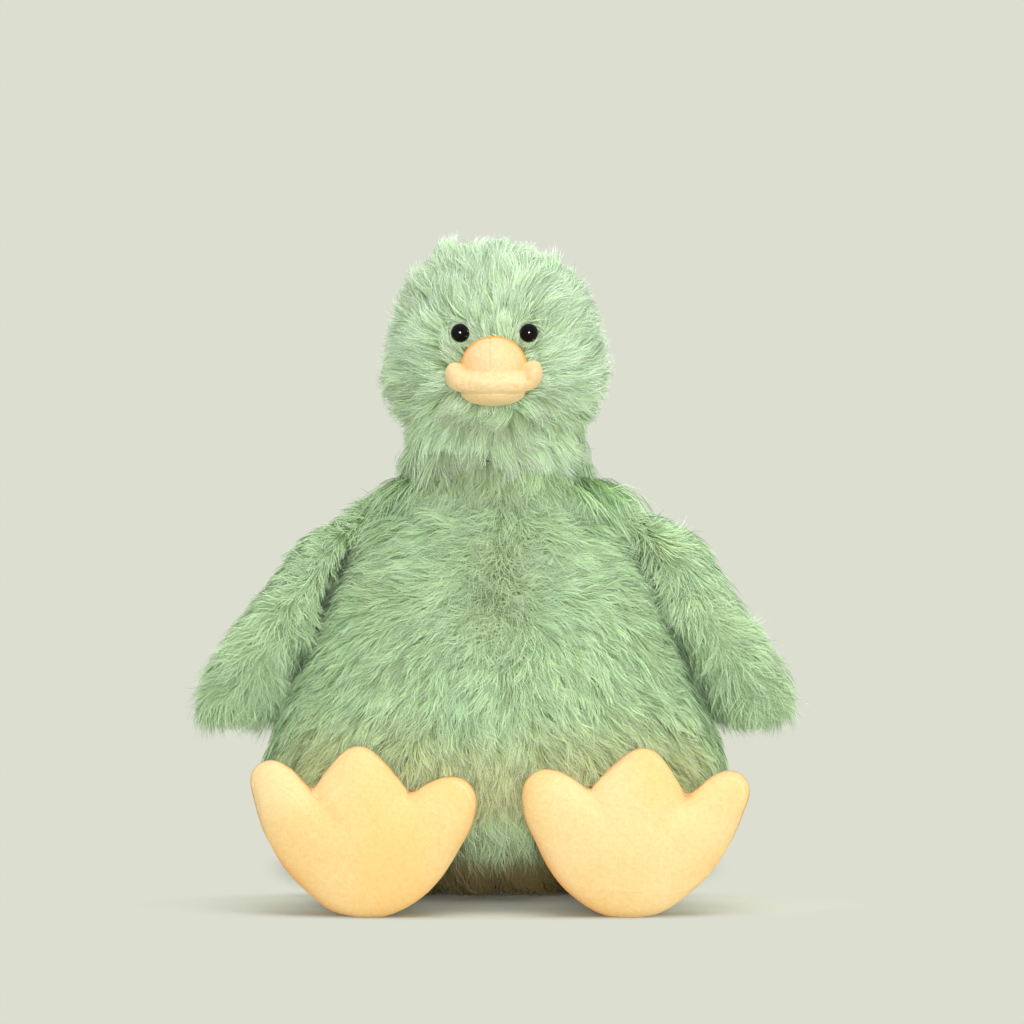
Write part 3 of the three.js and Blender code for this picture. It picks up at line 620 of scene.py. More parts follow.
@dataclass
class Skin:
    """A smooth surface as arrays, in millimetres, with the way out of it at each point."""

    points: np.ndarray
    faces: list[Face]
    out: np.ndarray = field(default_factory=lambda: np.zeros((0, 3)))

    def __post_init__(self) -> None:
        """Works out the way out of the surface where it isn't given."""
        if len(self.out) == 0:
            total = np.zeros_like(self.points)
            for face in self.faces:
                a, b, c, d = (self.points[face[i]] for i in (0, 1, 2, -1))
                total[list(face)] += np.cross(c - a, d - b) if len(face) == 4 else np.cross(b - a, c - a)
            self.out = unit(total)

    def part(self, keep: np.ndarray) -> Skin:
        """Cuts a piece out of the surface.

        Args:
            keep: Which faces it keeps.

        Returns:
            Those faces, with the ways out that they had.
        """
        faces = [f for f, k in zip(self.faces, keep) if k]
        used = sorted({i for f in faces for i in f})
        number = {old: new for new, old in enumerate(used)}
        return Skin(self.points[used], [tuple(number[i] for i in f) for f in faces], self.out[used])

    def outward(self, middle: np.ndarray) -> Skin:
        """Gives the surface with its faces looking away from a point inside it."""
        looks_out = (self.out * (self.points - middle)).sum() >= 0
        return self if looks_out else Skin(self.points, facing(self.faces, False))

    def middles(self) -> np.ndarray:
        """Gives the middle of each face."""
        return np.array([self.points[list(f)].mean(0) for f in self.faces])

    def quarters(self) -> list[np.ndarray]:
        """Tells which faces lie front left, front right, back left and back right."""
        x, y, _ = self.middles().T
        return [(x * side > 0) & (y * end > 0) for end in (-1, 1) for side in (-1, 1)]

    def halves(self) -> list[np.ndarray]:
        """Tells which faces are on the first side of a sewn form, and which on the second."""
        order = np.arange(len(self.faces))
        return [order < len(order) // 2, order >= len(order) // 2]

    def mesh(self, name: str, values: dict[str, np.ndarray] | None = None) -> bpy.types.Object:
        """Makes a mesh object of the surface.

        Args:
            name: The object's name.
            values: Numbers or vectors at its points, kept as attributes.

        Returns:
            The linked object.
        """
        data = plain_mesh(name, self.points, [], self.faces)
        data.shade_smooth()
        for label, numbers in (values or {}).items():
            write_values(data, label, numbers)
        return link(name, data)


@dataclass(frozen=True)
class TurnedForm:
    """A form turned round +Z from an outline of [radius, height] shares, and flattened front and back."""

    shares: tuple[tuple[float, float], ...]
    half_width: float
    height: float
    foot: float
    front: float
    back: float
    round_at: tuple[float, float]
    collar: tuple[float, float] | None = None

    COLLAR_EASE = 0.45
    CLEARANCE = 0.93

    def outline(self, inset: float, steps: int = 6) -> np.ndarray:
        """Gives the outline of the side, inset, and by less at a neck's collar.

        Args:
            inset: How far inwards it moves.
            steps: Spans between two of the outline's own points.

        Returns:
            Rows of radius and height. Those that a tight bend would fold over are left out.
        """
        side = spline(np.array(self.shares) * (self.half_width, self.height), steps) + (0, self.foot)
        way = unit(np.gradient(side, axis=0))
        less = 1 - self.COLLAR_EASE * ease(side[:, 1:], *self.collar) if self.collar else np.ones((len(side), 1))
        moved = side + inset * less * np.stack([-way[:, 1], way[:, 0]], 1)
        gap = np.linalg.norm(moved[:, None] - side[None], axis=2).min(1)
        clear = gap >= inset * less[:, 0] * self.CLEARANCE
        clear[[0, -1]] = True
        moved = moved[clear]
        moved[:, 0] = np.maximum(moved[:, 0], 0)
        return moved

    def depth_share(self, y: np.ndarray, z: np.ndarray) -> np.ndarray:
        """Gives how deep the form is, of its radius.

        Args:
            y: Places from front to back, the front under 0.
            z: Their heights.

        Returns:
            A share for each place.
        """
        low, high = self.round_at
        flat = np.where(y < 0, self.front, self.back)
        return flat + (1 - flat) * ease((z - self.foot) / self.height, low, high)

    def radius(self, z: np.ndarray | float, inset: float = 0.0) -> np.ndarray:
        """Gives the radius at a height.

        Args:
            z: The height, or many.
            inset: How far in from the form's surface.

        Returns:
            The radius at each height.
        """
        side = self.outline(inset)
        order = np.argsort(side[:, 1])
        return np.interp(z, side[order, 1], side[order, 0])

    def skin(self, inset: float, segments: int = AROUND, finer: int = 1) -> Skin:
        """Makes the whole surface.

        Args:
            inset: How far inside the pile's own surface it lies.
            segments: Points in each ring.
            finer: How many rings each of the outline's spans is cut into.

        Returns:
            The surface, ring by ring.
        """
        side = self.outline(inset)
        spans = [side[:-1] + np.diff(side, axis=0) * k / finer for k in range(finer)]
        side = np.vstack([np.stack(spans, 1).reshape(-1, 2), side[-1:]])
        turn = np.arange(segments) * 2 * math.pi / segments - math.pi / 2
        x = side[:, :1] * np.cos(turn)
        y = side[:, :1] * np.sin(turn)
        z = np.repeat(side[:, 1:], segments, 1)
        points = np.stack([x, y * self.depth_share(y, z), z], 2).reshape(-1, 3)
        skin = Skin(points, ring_faces(len(side), segments))
        for k in np.where(side[:, 0] < 1e-6)[0]:
            skin.out[k * segments:(k + 1) * segments] = (0, 0, 1 if k > len(side) / 2 else -1)
        return skin


@dataclass(frozen=True)
class Pile:
    """How the pile of a panel grows. Lengths are in millimetres and counts are per square millimetre."""

    strands: float
    length: float
    width: float = 0.62
    spans: int = 3
    tufts: float = 0.045
    pull: float = 0.5
    stray: float = 5.0
    wave: float = 0.07
    droop: float = 0.55
    swirl: float = 0.55


class GrowthTree:
    """A geometry tree with named inputs, which grows something on an object."""

    NAME: str
    GROUND: str
    GROWN: str
    SIZES: tuple[str, ...]
    COUNTS: tuple[str, ...] = ()

    def __init__(self) -> None:
        """Builds the tree."""
        self.tree = bpy.data.node_groups.new(self.NAME, "GeometryNodeTree")
        forms = {self.GROUND: "Geometry", **dict.fromkeys(self.SIZES, "Float"),
                 **dict.fromkeys(self.COUNTS, "Int"), "Material": "Material"}
        panel = self.tree.interface
        for name, form in forms.items():
            panel.new_socket(name, in_out="INPUT", socket_type="NodeSocket" + form)
        panel.new_socket(self.GROWN, in_out="OUTPUT", socket_type="NodeSocketGeometry")
        self.identifiers = {s.name: s.identifier for s in panel.items_tree}
        self.plan = Plan(self.tree)
        self.given = self.plan.add("NodeGroupInput")
        self.build()

    def build(self) -> None:
        """Adds the nodes."""
        raise NotImplementedError

    def plant(self, points: Wire, one: Wire, **turned: Wire) -> Wire:
        """Puts one form at each point, as real copies."""
        planted = self.plan.add("GeometryNodeInstanceOnPoints", None, {"Points": points, "Instance": one, **turned})
        return self.plan.add("GeometryNodeRealizeInstances", None, {"Geometry": planted["Instances"]})["Geometry"]

    def hand_out(self, grown: Wire) -> None:
        """Gives what has grown its material and ends the tree.

        Args:
            grown: What has grown.
        """
        sockets = {"Geometry": grown, "Material": self.given["Material"]}
        painted = self.plan.add("GeometryNodeSetMaterial", None, sockets)
        self.plan.add("NodeGroupOutput", None, {self.GROWN: painted["Geometry"]})

    def apply(self, ground: bpy.types.Object, name: str, inputs: dict[str, object],
              layers: bool = False) -> bpy.types.Object:
        """Grows the tree on an object and keeps the result in its place.

        Args:
            ground: The object that it grows on, which is then removed.
            name: The result's name.
            inputs: The tree's inputs by name.
            layers: Whether every attribute of the result is kept.

        Returns:
            The result as a plain mesh object at the origin.
        """
        growth = ground.modifiers.new(self.NAME, "NODES")
        growth.node_group = self.tree
        for label, value in inputs.items():
            growth[self.identifiers[label]] = value
        data = evaluated(ground, layers)
        data.name = name
        data.shade_smooth()
        bpy.data.objects.remove(ground)
        return link(name, data)


class PileTree(GrowthTree):
    """The tree that grows strands on a backing. Every fur panel uses it.

    OWN values differ from strand to strand, and TUFT values from tuft to tuft.
    """

    NAME, GROUND, GROWN = "pile", "Backing", "Pile"
    SIZES = ("Strands", "Tufts", "Length", "Width", "Pull", "Stray", "Wave", "Droop", "Swirl")
    COUNTS = ("Spans", "Seed")

    SWAY, SWAY_SCALE, TUFT_SWAY = 4.0, 45, 0.5
    OWN_TURN, WILD_TURN, OWN_TWIST = 0.25, 1.6, 1.1
    OWN_LIFT, TUFT_LIFT = 0.1, 0.24
    OWN_LENGTH, TUFT_LENGTH = (0.72, 1.2), (0.78, 1.18)
    OWN_TONE, TUFT_TONE = 0.62, 0.38
    WAVES, PULL_POWER, STRAY_SCALE, TAPER = 4.2, 1.4, 160, 0.45
    LOWEST = 0.2 * MM
    SOFT = 0.5

    def build(self) -> None:
        """Adds the nodes: roots, the lie of each strand, its blade, and its attributes."""
        plan, given = self.plan, self.given
        tufts = self.scatter(given["Tufts"], given["Seed"] + 1.0)
        roots = self.scatter(given["Strands"] * plan.named("thick"), given["Seed"])
        placed = self.lie(roots, tufts)
        loose = self.plant(placed["Geometry"], self.blade())
        sockets = {"Geometry": loose, "Position": self.curl(placed)}
        shaped = plan.add("GeometryNodeSetPosition", None, sockets)["Geometry"]
        # the painted light carries painted shade and painted bounce light into the pile's colour
        for name, form, domain, value in (
            ("along", "FLOAT", "POINT", self.along), ("tone", "FLOAT", "POINT", placed["tone"]),
            ("blush", "FLOAT", "POINT", placed["blush"]), ("lit", "FLOAT_VECTOR", "POINT", placed["lit"]),
            ("OFBake", "FLOAT2", "CORNER", self.cell(placed)),
        ):
            shaped = plan.add("GeometryNodeStoreNamedAttribute", {"data_type": form, "domain": domain},
                              {"Geometry": shaped, "Name": name, "Value": value})["Geometry"]
        for name in ("comb", "out", "pile", "lift", "thick", "wild"):
            shaped = plan.add("GeometryNodeRemoveAttribute", None, {"Geometry": shaped, "Name": name})["Geometry"]
        self.hand_out(shaped)

    def scatter(self, density: Wire, seed: Wire) -> Wire:
        """Scatters points on the backing."""
        sockets = {"Mesh": self.given["Backing"], "Density": density, "Seed": seed}
        return self.plan.add("GeometryNodeDistributePointsOnFaces", {"distribute_method": "RANDOM"}, sockets)["Points"]

    def lie(self, roots: Wire, tufts: Wire) -> Made:
        """Works out how each strand lies at its root, and keeps it on the point.

        Args:
            roots: The strands' roots.
            tufts: The middles of the tufts.

        Returns:
            The node that keeps the values.
        """
        plan, given = self.plan, self.given
        place = plan.add("GeometryNodeInputPosition")["Position"]
        near = plan.add("GeometryNodeSampleNearest", {"domain": "POINT"}, {"Geometry": tufts})["Index"]
        middle = plan.add("GeometryNodeSampleIndex", {"data_type": "FLOAT_VECTOR", "domain": "POINT"},
                          {"Geometry": tufts, "Value": place, "Index": near})["Value"]
        out = plan.vector("NORMALIZE", plan.named("out", "FLOAT_VECTOR"))
        sway = ((plan.noise(place, self.SWAY_SCALE, 2) - 0.5) * self.SWAY
                + plan.chance(-self.TUFT_SWAY, self.TUFT_SWAY, 3, near))
        loose = plan.named("wild") * self.WILD_TURN + self.OWN_TURN
        turn = sway * given["Swirl"] + plan.chance(-1.0, 1.0, 4) * loose
        comb = plan.add("ShaderNodeVectorRotate", {"rotation_type": "AXIS_ANGLE"},
                        {"Vector": plan.named("comb", "FLOAT_VECTOR"), "Axis": out, "Angle": turn})["Vector"]
        comb = plan.vector("NORMALIZE", comb - out * plan.vector("DOT_PRODUCT", comb, out))
        lift = (plan.named("lift") + plan.chance(-self.TUFT_LIFT, self.TUFT_LIFT, 5, near)
                + plan.chance(-self.OWN_LIFT, self.OWN_LIFT, 6))
        length = (given["Length"] * plan.named("pile") * plan.chance(*self.OWN_LENGTH, 7)
                  * plan.chance(*self.TUFT_LENGTH, 8, near))
        tone = plan.chance(0.0, 1.0, 11) * self.OWN_TONE + plan.chance(0.0, self.TUFT_TONE, 12, near)
        count = plan.add("GeometryNodeAttributeDomainSize", {"component": "POINTCLOUD"}, {"Geometry": roots})
        kept = {
            "root": ("VECTOR", place), "out": ("VECTOR", out), "lit": ("VECTOR", out), "comb": ("VECTOR", comb),
            "side": ("VECTOR", plan.vector("CROSS_PRODUCT", out, comb)), "tuft": ("VECTOR", middle - place),
            "lift": ("FLOAT", lift), "length": ("FLOAT", length), "tone": ("FLOAT", tone),
            "twist": ("FLOAT", plan.chance(-self.OWN_TWIST, self.OWN_TWIST, 9)),
            "phase": ("FLOAT", plan.chance(0.0, 6.28, 10, near)), "blush": ("FLOAT", plan.named("blush")),
            "number": ("INT", plan.add("GeometryNodeInputIndex")["Index"]), "count": ("INT", count["Point Count"]),
        }
        return plan.add("GeometryNodeCaptureAttribute",
                        {"domain": "POINT", "captures": {name: form for name, (form, _) in kept.items()}},
                        {"Geometry": roots, **{name: value for name, (_, value) in kept.items()}})

    def blade(self) -> Wire:
        """Makes one strand: a flat tapering blade, 2 wide and 1 long, whose tip is a single point.

        Returns:
            The blade. How far along and across it each corner is stays in the fields of those names.
        """
        plan = self.plan
        size = {"Size X": 2.0, "Size Y": 1.0, "Vertices X": 2, "Vertices Y": self.given["Spans"] + 1.0}
        grid = plan.add("GeometryNodeMeshGrid", None, size)["Mesh"]
        place = plan.add("ShaderNodeSeparateXYZ", None, {0: plan.add("GeometryNodeInputPosition")["Position"]})
        along = place["Y"] + 0.5
        narrowed = plan.combine(place["X"] * (along < 0.999), place["Y"])
        tapered = plan.add("GeometryNodeSetPosition", None, {"Geometry": grid, "Position": narrowed})
        closed = plan.add("GeometryNodeMergeByDistance", None,
                          {"Geometry": tapered["Geometry"], "Distance": 0.0001})["Geometry"]
        made = plan.add("GeometryNodeCaptureAttribute",
                        {"domain": "POINT", "captures": {"along": "FLOAT", "across": "FLOAT"}},
                        {"Geometry": closed, "along": along, "across": place["X"]})
        self.along, self.across = made["along"], made["across"]
        return made["Geometry"]

    def curl(self, kept: Made) -> Wire:
        """Bends the blades.

        Args:
            kept: The node that keeps the lie of each strand.

        Returns:
            The place of each corner of each blade along its strand's curve.
        """
        plan, given = self.plan, self.given
        t, length = self.along, kept["length"]
        bend = kept["lift"] * (1.0 - t * given["Droop"])
        core = (kept["comb"] * plan.maths("COSINE", bend) + kept["out"] * plan.maths("SINE", bend)) * (t * length)
        wave = kept["side"] * (plan.maths("SINE", t * self.WAVES + kept["phase"]) * given["Wave"] * t * length)
        drawn = kept["tuft"] * (given["Pull"] * t ** self.PULL_POWER)
        astray = (plan.noise(kept["root"], self.STRAY_SCALE, 2, "Color") - (0.5, 0.5, 0.5)) * (given["Stray"] * t * t)
        face = kept["side"] * plan.maths("COSINE", kept["twist"]) + kept["out"] * plan.maths("SINE", kept["twist"])
        blade = face * (self.across * given["Width"] * 0.5 * (1.0 - t * self.TAPER))
        place = plan.add("ShaderNodeSeparateXYZ", None, {0: kept["root"] + core + wave + drawn + astray + blade})
        return plan.combine(place["X"], place["Y"], plan.maths("MAXIMUM", place["Z"], self.LOWEST))

    def cell(self, kept: Made) -> Wire:
        """Gives each strand its own cell of the baking map.

        Args:
            kept: The node that keeps the strands' numbers.

        Returns:
            The place of each corner on the map.
        """
        plan = self.plan
        columns = plan.maths("CEIL", plan.maths("SQRT", kept["count"] + 0.0))
        row = plan.maths("FLOOR", (kept["number"] + 0.5) / columns)
        column = kept["number"] - row * columns
        return plan.combine((column + 0.5 + self.across * 0.4) / columns, (row + 0.1 + self.along * 0.8) / columns)

    def soften(self, data: bpy.types.Mesh) -> None:
        """Turns each strand's face outwards and lets its shading follow the panel, as soft pile does.

        Args:
            data: The strands, whose lit attribute is used up.
        """
        count = len(data.vertices)
        lit, own = np.zeros(count * 3), np.zeros(count * 3)
        data.attributes["lit"].data.foreach_get("vector", lit)
        data.vertex_normals.foreach_get("vector", own)
        lit, own = unit(lit.reshape(-1, 3)), own.reshape(-1, 3)
        if (lit * own).sum() < 0:
            data.flip_normals()
            own = -own
        data.attributes.remove(data.attributes["lit"])
        data.normals_split_custom_set_from_vertices(unit(lit * self.SOFT + own * (1 - self.SOFT)).tolist())

    def grow(self, name: str, skin: Skin, values: dict[str, np.ndarray], pile: Pile, pelt: Pelt) -> bpy.types.Object:
        """Grows the pile of one panel and keeps it as a plain mesh.

        Args:
            name: The piece's name.
            skin: The panel's backing.
            values: comb, pile, lift, thick and the painted light at the backing's points.
            pile: How the pile grows.
            pelt: Which fur it is.

        Returns:
            The strands as one object at the origin.
        """
        ground = skin.mesh(name + "_ground", {"out": skin.out, "wild": np.zeros(len(skin.points)), **values})
        made = self.apply(ground, name, {
            "Strands": pile.strands / MM**2, "Tufts": pile.tufts / MM**2, "Length": pile.length * MM,
            "Width": pile.width * MM, "Pull": pile.pull, "Stray": pile.stray * MM, "Wave": pile.wave,
            "Droop": pile.droop, "Swirl": pile.swirl, "Spans": pile.spans, "Seed": sum(map(ord, name)),
            "Material": pelt.value.material(),
        }, layers=True)
        self.soften(made.data)
        log.info("%s: %d strands", name, len(made.data.vertices) // (2 * pile.spans + 1))
        return made


class StitchTree(GrowthTree):
    """The tree that sews even stitches along a line."""

    NAME, GROUND, GROWN = "stitches", "Line", "Stitches"
    SIZES = ("Spacing", "Length", "Thickness")

    def build(self) -> None:
        """Adds the nodes: even places along the line, and one stitch along it at each."""
        plan, given = self.plan, self.given
        line = plan.add("GeometryNodeMeshToCurve", None, {"Mesh": given["Line"]})["Curve"]
        places = plan.add("GeometryNodeResampleCurve", {"mode": "LENGTH"},
                          {"Curve": line, "Length": given["Spacing"]})["Curve"]
        turn = plan.add("FunctionNodeAlignRotationToVector", {"axis": "X"},
                        {"Vector": plan.add("GeometryNodeInputTangent")["Tangent"]})["Rotation"]
        size = plan.combine(given["Length"], given["Thickness"], given["Thickness"])
        one = plan.add("GeometryNodeMeshUVSphere", None, {"Segments": 6, "Rings": 5, "Radius": 0.5})["Mesh"]
        self.hand_out(self.plant(places, one, Rotation=turn, Scale=size))

    def sew(self, name: str, line: np.ndarray, spacing: float, length: float, thickness: float,
            thread: GrainFinish) -> bpy.types.Object:
        """Sews stitches along a line.

        Args:
            name: The piece's name.
            line: Points along it, in millimetres.
            spacing: From one stitch to the next.
            length: One stitch's length.
            thickness: The thread's thickness.
            thread: Its finish.

        Returns:
            The stitches as one object at the origin.
        """
        guide = plain_mesh(name + "_line", line, [(i, i + 1) for i in range(len(line) - 1)], [])
        return self.apply(link(guide.name, guide), name, {
            "Spacing": spacing * MM, "Length": length * MM, "Thickness": thickness * MM,
            "Material": thread.material(),
        })


@dataclass
class Limb:
    """What the sub-assemblies share: the body that they ride on, and the pile and stitch trees."""

    pile_tree: PileTree
    stitch_tree: StitchTree
    carrier: str

    def keep(self, piece: bpy.types.Object, slot: str, *nodes: str, fill: float | None = None) -> bpy.types.Object:
        """Makes a finished piece ride on its body.

        Args:
            piece: The piece, at the origin.
            slot: The record's material slot; not used.
            nodes: The CAD nodes that it stands for.
            fill: How tight it is stuffed, where it is a padded piece; not used.

        Returns:
            The piece.
        """
        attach(piece, self.carrier)
        if nodes:
            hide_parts(*nodes)
        log.info("%s rides on %s: %d faces", piece.name, self.carrier, len(piece.data.polygons))
        return piece

    def stuff(self, name: str, node: str, skin: Skin) -> None:
        """Makes the wadding inside a sewn form.

        Args:
            name: The piece's name.
            node: The CAD node that it stands for.
            skin: The wadding's closed surface.
        """
        fill = Skin(skin.points + ripple(skin.points, 4, 13) * 0.25, skin.faces).mesh(name)
        fill.data.materials.append(WADDING.material())
        self.keep(fill, "wadding", node, fill=0.6)

    def fur_panel(self, name: str, node: str, skin: Skin, values: dict[str, np.ndarray], pile: Pile, pelt: Pelt,
                  slot: str) -> None:
        """Makes one fur panel: its backing cloth and the pile that grows on it.

        Args:
            name: The panel's name.
            node: The CAD node that it stands for.
            skin: The panel's backing.
            values: comb, pile, lift, thick and the painted light at the backing's points.
            pile: How the pile grows.
            pelt: Which fur it is.
            slot: The record's material slot.
        """
        cloth = skin.mesh(name + "_backing")
        cloth.data.materials.append(BACKING.material())
        thick = cloth.modifiers.new("thickness", "SOLIDIFY")
        thick.thickness, thick.offset = 1.0 * MM, -1
        self.keep(cloth, slot, node, fill=0.85)
        self.keep(self.pile_tree.grow(name + "_pile", skin, values, pile, pelt), slot, node)


def flatten(ways: np.ndarray, out: np.ndarray) -> np.ndarray:
    """Lays vectors into the surface whose way out is given."""
    return unit(ways - (ways * out).sum(1, keepdims=True) * out)


def even_lie(comb: np.ndarray, lift: float) -> dict[str, np.ndarray]:
    """Gives what the pile tree reads where the pile is even over a whole panel.

    Args:
        comb: Which way the pile runs at each point.
        lift: How far it stands up, in radians.

    Returns:
        Values for each point, by name.
    """
    count = len(comb)
    return {"comb": comb, "pile": np.ones(count), "lift": np.full(count, lift), "thick": np.ones(count),
            "blush": np.zeros(count)}


BODY = TurnedForm(
    ((0.65, 0), (0.82, 0.035), (0.95, 0.14), (1, 0.3), (0.93, 0.46), (0.82, 0.62), (0.665, 0.825),
     (0.51, 0.965), (0.435, 1.027), (0.405, 1.06), (0.385, 1.1), (0.36, 1.118), (0.2, 1.125), (0, 1.125)),
    117, 188, 0, 0.9, 0.86, (0.6, 1.0), collar=(184, 197))
HEAD = TurnedForm(
    ((0, 0.135), (0.6, 0.14), (0.85, 0.155), (0.82, 0.22), (0.85, 0.29), (0.94, 0.375), (1, 0.475), (0.97, 0.6),
     (0.88, 0.735), (0.76, 0.84), (0.56, 0.93), (0.3, 0.985), (0, 1)),
    56, 129, 188, 0.98, 0.96, (0.5, 0.0))


@dataclass
class Trunk(Limb):
    """The pear body: four side panels and the base."""

    depth: float = 7.0
    base_seam: float = 10.0
    parting: float = 148.0
    whorl: float = 18.0
    seat_rings: int = 11
    pile: Pile = Pile(1.36, 15.5, 0.46, 3, tufts=0.08, pull=0.8, stray=7.0, wave=0.14, swirl=0.6)
    seat_pile: Pile = Pile(0.25, 13.0)

    def lie(self, skin: Skin) -> dict[str, np.ndarray]:
        """Lays the pile out from a parting on the chest, and down the belly and the back.

        Args:
            skin: A panel's backing.

        Returns:
            What the pile tree reads at its points.
        """
        p, out = skin.points, skin.out
        x, y, z = p.T
        off = x - np.interp(z, (self.parting, 200), (1, 14))
        below = np.minimum(z - self.parting, 0)
        ways = np.stack([off, (y + 100) * 0.6 * ease(np.abs(off), 0, 30), below * 1.4 - np.abs(off) * 0.25 - 6], 1)
        near = np.exp(-(np.hypot(off, np.minimum(z - self.parting + 12, 0)) / self.whorl)**2)
        near *= (y < 0) * ease(z, 206, 160)
        top = ease(z, 186, 199)[:, None]
        ways = unit(ways) + (0, 0, -1) * ease(y, -50, 60)[:, None] * 1.3
        ways += ripple(p, 9, 5) * 0.22 + ripple(p, 6, 9) * (0.5 * near)[:, None]
        shoulder = ease(z, 162, 182) * ease(z, 204, 196) * ease(np.abs(x) - 0.9 * np.abs(y), 0, 20)
        ways += np.stack([np.sign(x) * 1.6, -0.4 * np.sign(y), np.full_like(x, -0.3)], 1) * shoulder[:, None]
        # painted shade at the bottom of the belly, between the feet
        under = ease(z, 56, 14) * ease(-y, -30, 50)
        behind = np.where(y > 12, 0.68, 1.0)
        # painted shade below the head's hanging pile
        throat = np.exp(-((x + 10) / 32)**2) * (y < 0) * ease(z, 184, 198)
        collar = ease(z, 198, 205)[:, None]
        out = unit(out * (1 - collar) + p * (1, 1, 0) / 45 * collar)
        return {
            "out": out, "wild": 0.9 * near * (1 - top[:, 0]),
            "comb": flatten(unit(ways) * (1 - top) + (0, 0, -1) * top, out),
            "pile": 1 - 0.25 * near + (0.9 + 0.4 * (x > 0)) * shoulder + 0.3 * top[:, 0] * ease(x, 10, 40)
            + 0.25 * ease(z, 30, 12),
            "lift": 0.5 + 0.4 * near * (1 - top[:, 0]) + 0.4 * top[:, 0] + (0.15 + 0.1 * (x > 0)) * shoulder,
            "thick": np.where(skin.out[:, 2] > 0.75, 0.0, 1.0 + 0.2 * near + 0.35 * ease(z, 188, 197)) * behind,
            # painted light: warm light bounced from the feet low on the front, and painted shade in the chest's
            # parting, at the bottom and below the head
            "blush": 0.42 * ease(z, 110, 60) * ease(-y, 0, 60) - 0.34 * near - 1.5 * under - 0.3 * throat,
        }

    def build(self) -> None:
        """Makes the panels."""
        whole = BODY.skin(self.depth)
        z = whole.middles()[:, 2]
        quarters = ("body_front_left", "body_front_right", "body_back_left", "body_back_right")
        for name, keep in zip(quarters, whole.quarters()):
            skin = whole.part(keep & (z > self.base_seam))
            self.fur_panel(name, name + "_panel", skin, self.lie(skin), self.pile, Pelt.BODY, "body_fur")
        self.seat(whole.part(z <= self.base_seam))

    def seat(self, rim: Skin) -> None:
        """Makes the base.

        Args:
            rim: The body's surface below the base's seam, to which the flat disc that the duck sits on is added.
        """
        radii = np.linspace(0, 1, self.seat_rings + 1)[1:] * BODY.outline(self.depth)[0, 0]
        turn = np.arange(AROUND) * 2 * math.pi / AROUND - math.pi / 2
        x = np.outer(radii, np.cos(turn))
        y = np.outer(radii, np.sin(turn))
        share = BODY.depth_share(y, np.zeros_like(y))
        disc = np.stack([x, y * share, np.full_like(x, self.depth)], 2).reshape(-1, 3)
        points = np.vstack([disc, (0, 0, self.depth), rim.points])
        faces = [f[1:] + f[:1] for f in ring_faces(self.seat_rings, AROUND)]
        faces += [(len(disc), (j + 1) % AROUND, j) for j in range(AROUND)]
        faces += [tuple(i + len(disc) + 1 for i in f) for f in rim.faces]
        skin = Skin(points, faces)
        skin.out[:len(disc) + 1] = (0, 0, -1)
        ways = unit(points * (1, 1, 0) + (1e-3, 0, 0))
        values = even_lie(flatten(ways + (0, 0, -1.2), skin.out), 0.7)
        # painted shade on the front of the base, where the duck sits on the floor
        values["blush"] = -1.6 * ease(-points[:, 1], -30, 50)
        values["thick"][len(disc) + 1:] = 4
        self.fur_panel("body_base", "body_base_panel", skin, values, self.seat_pile, Pelt.BODY, "body_fur")


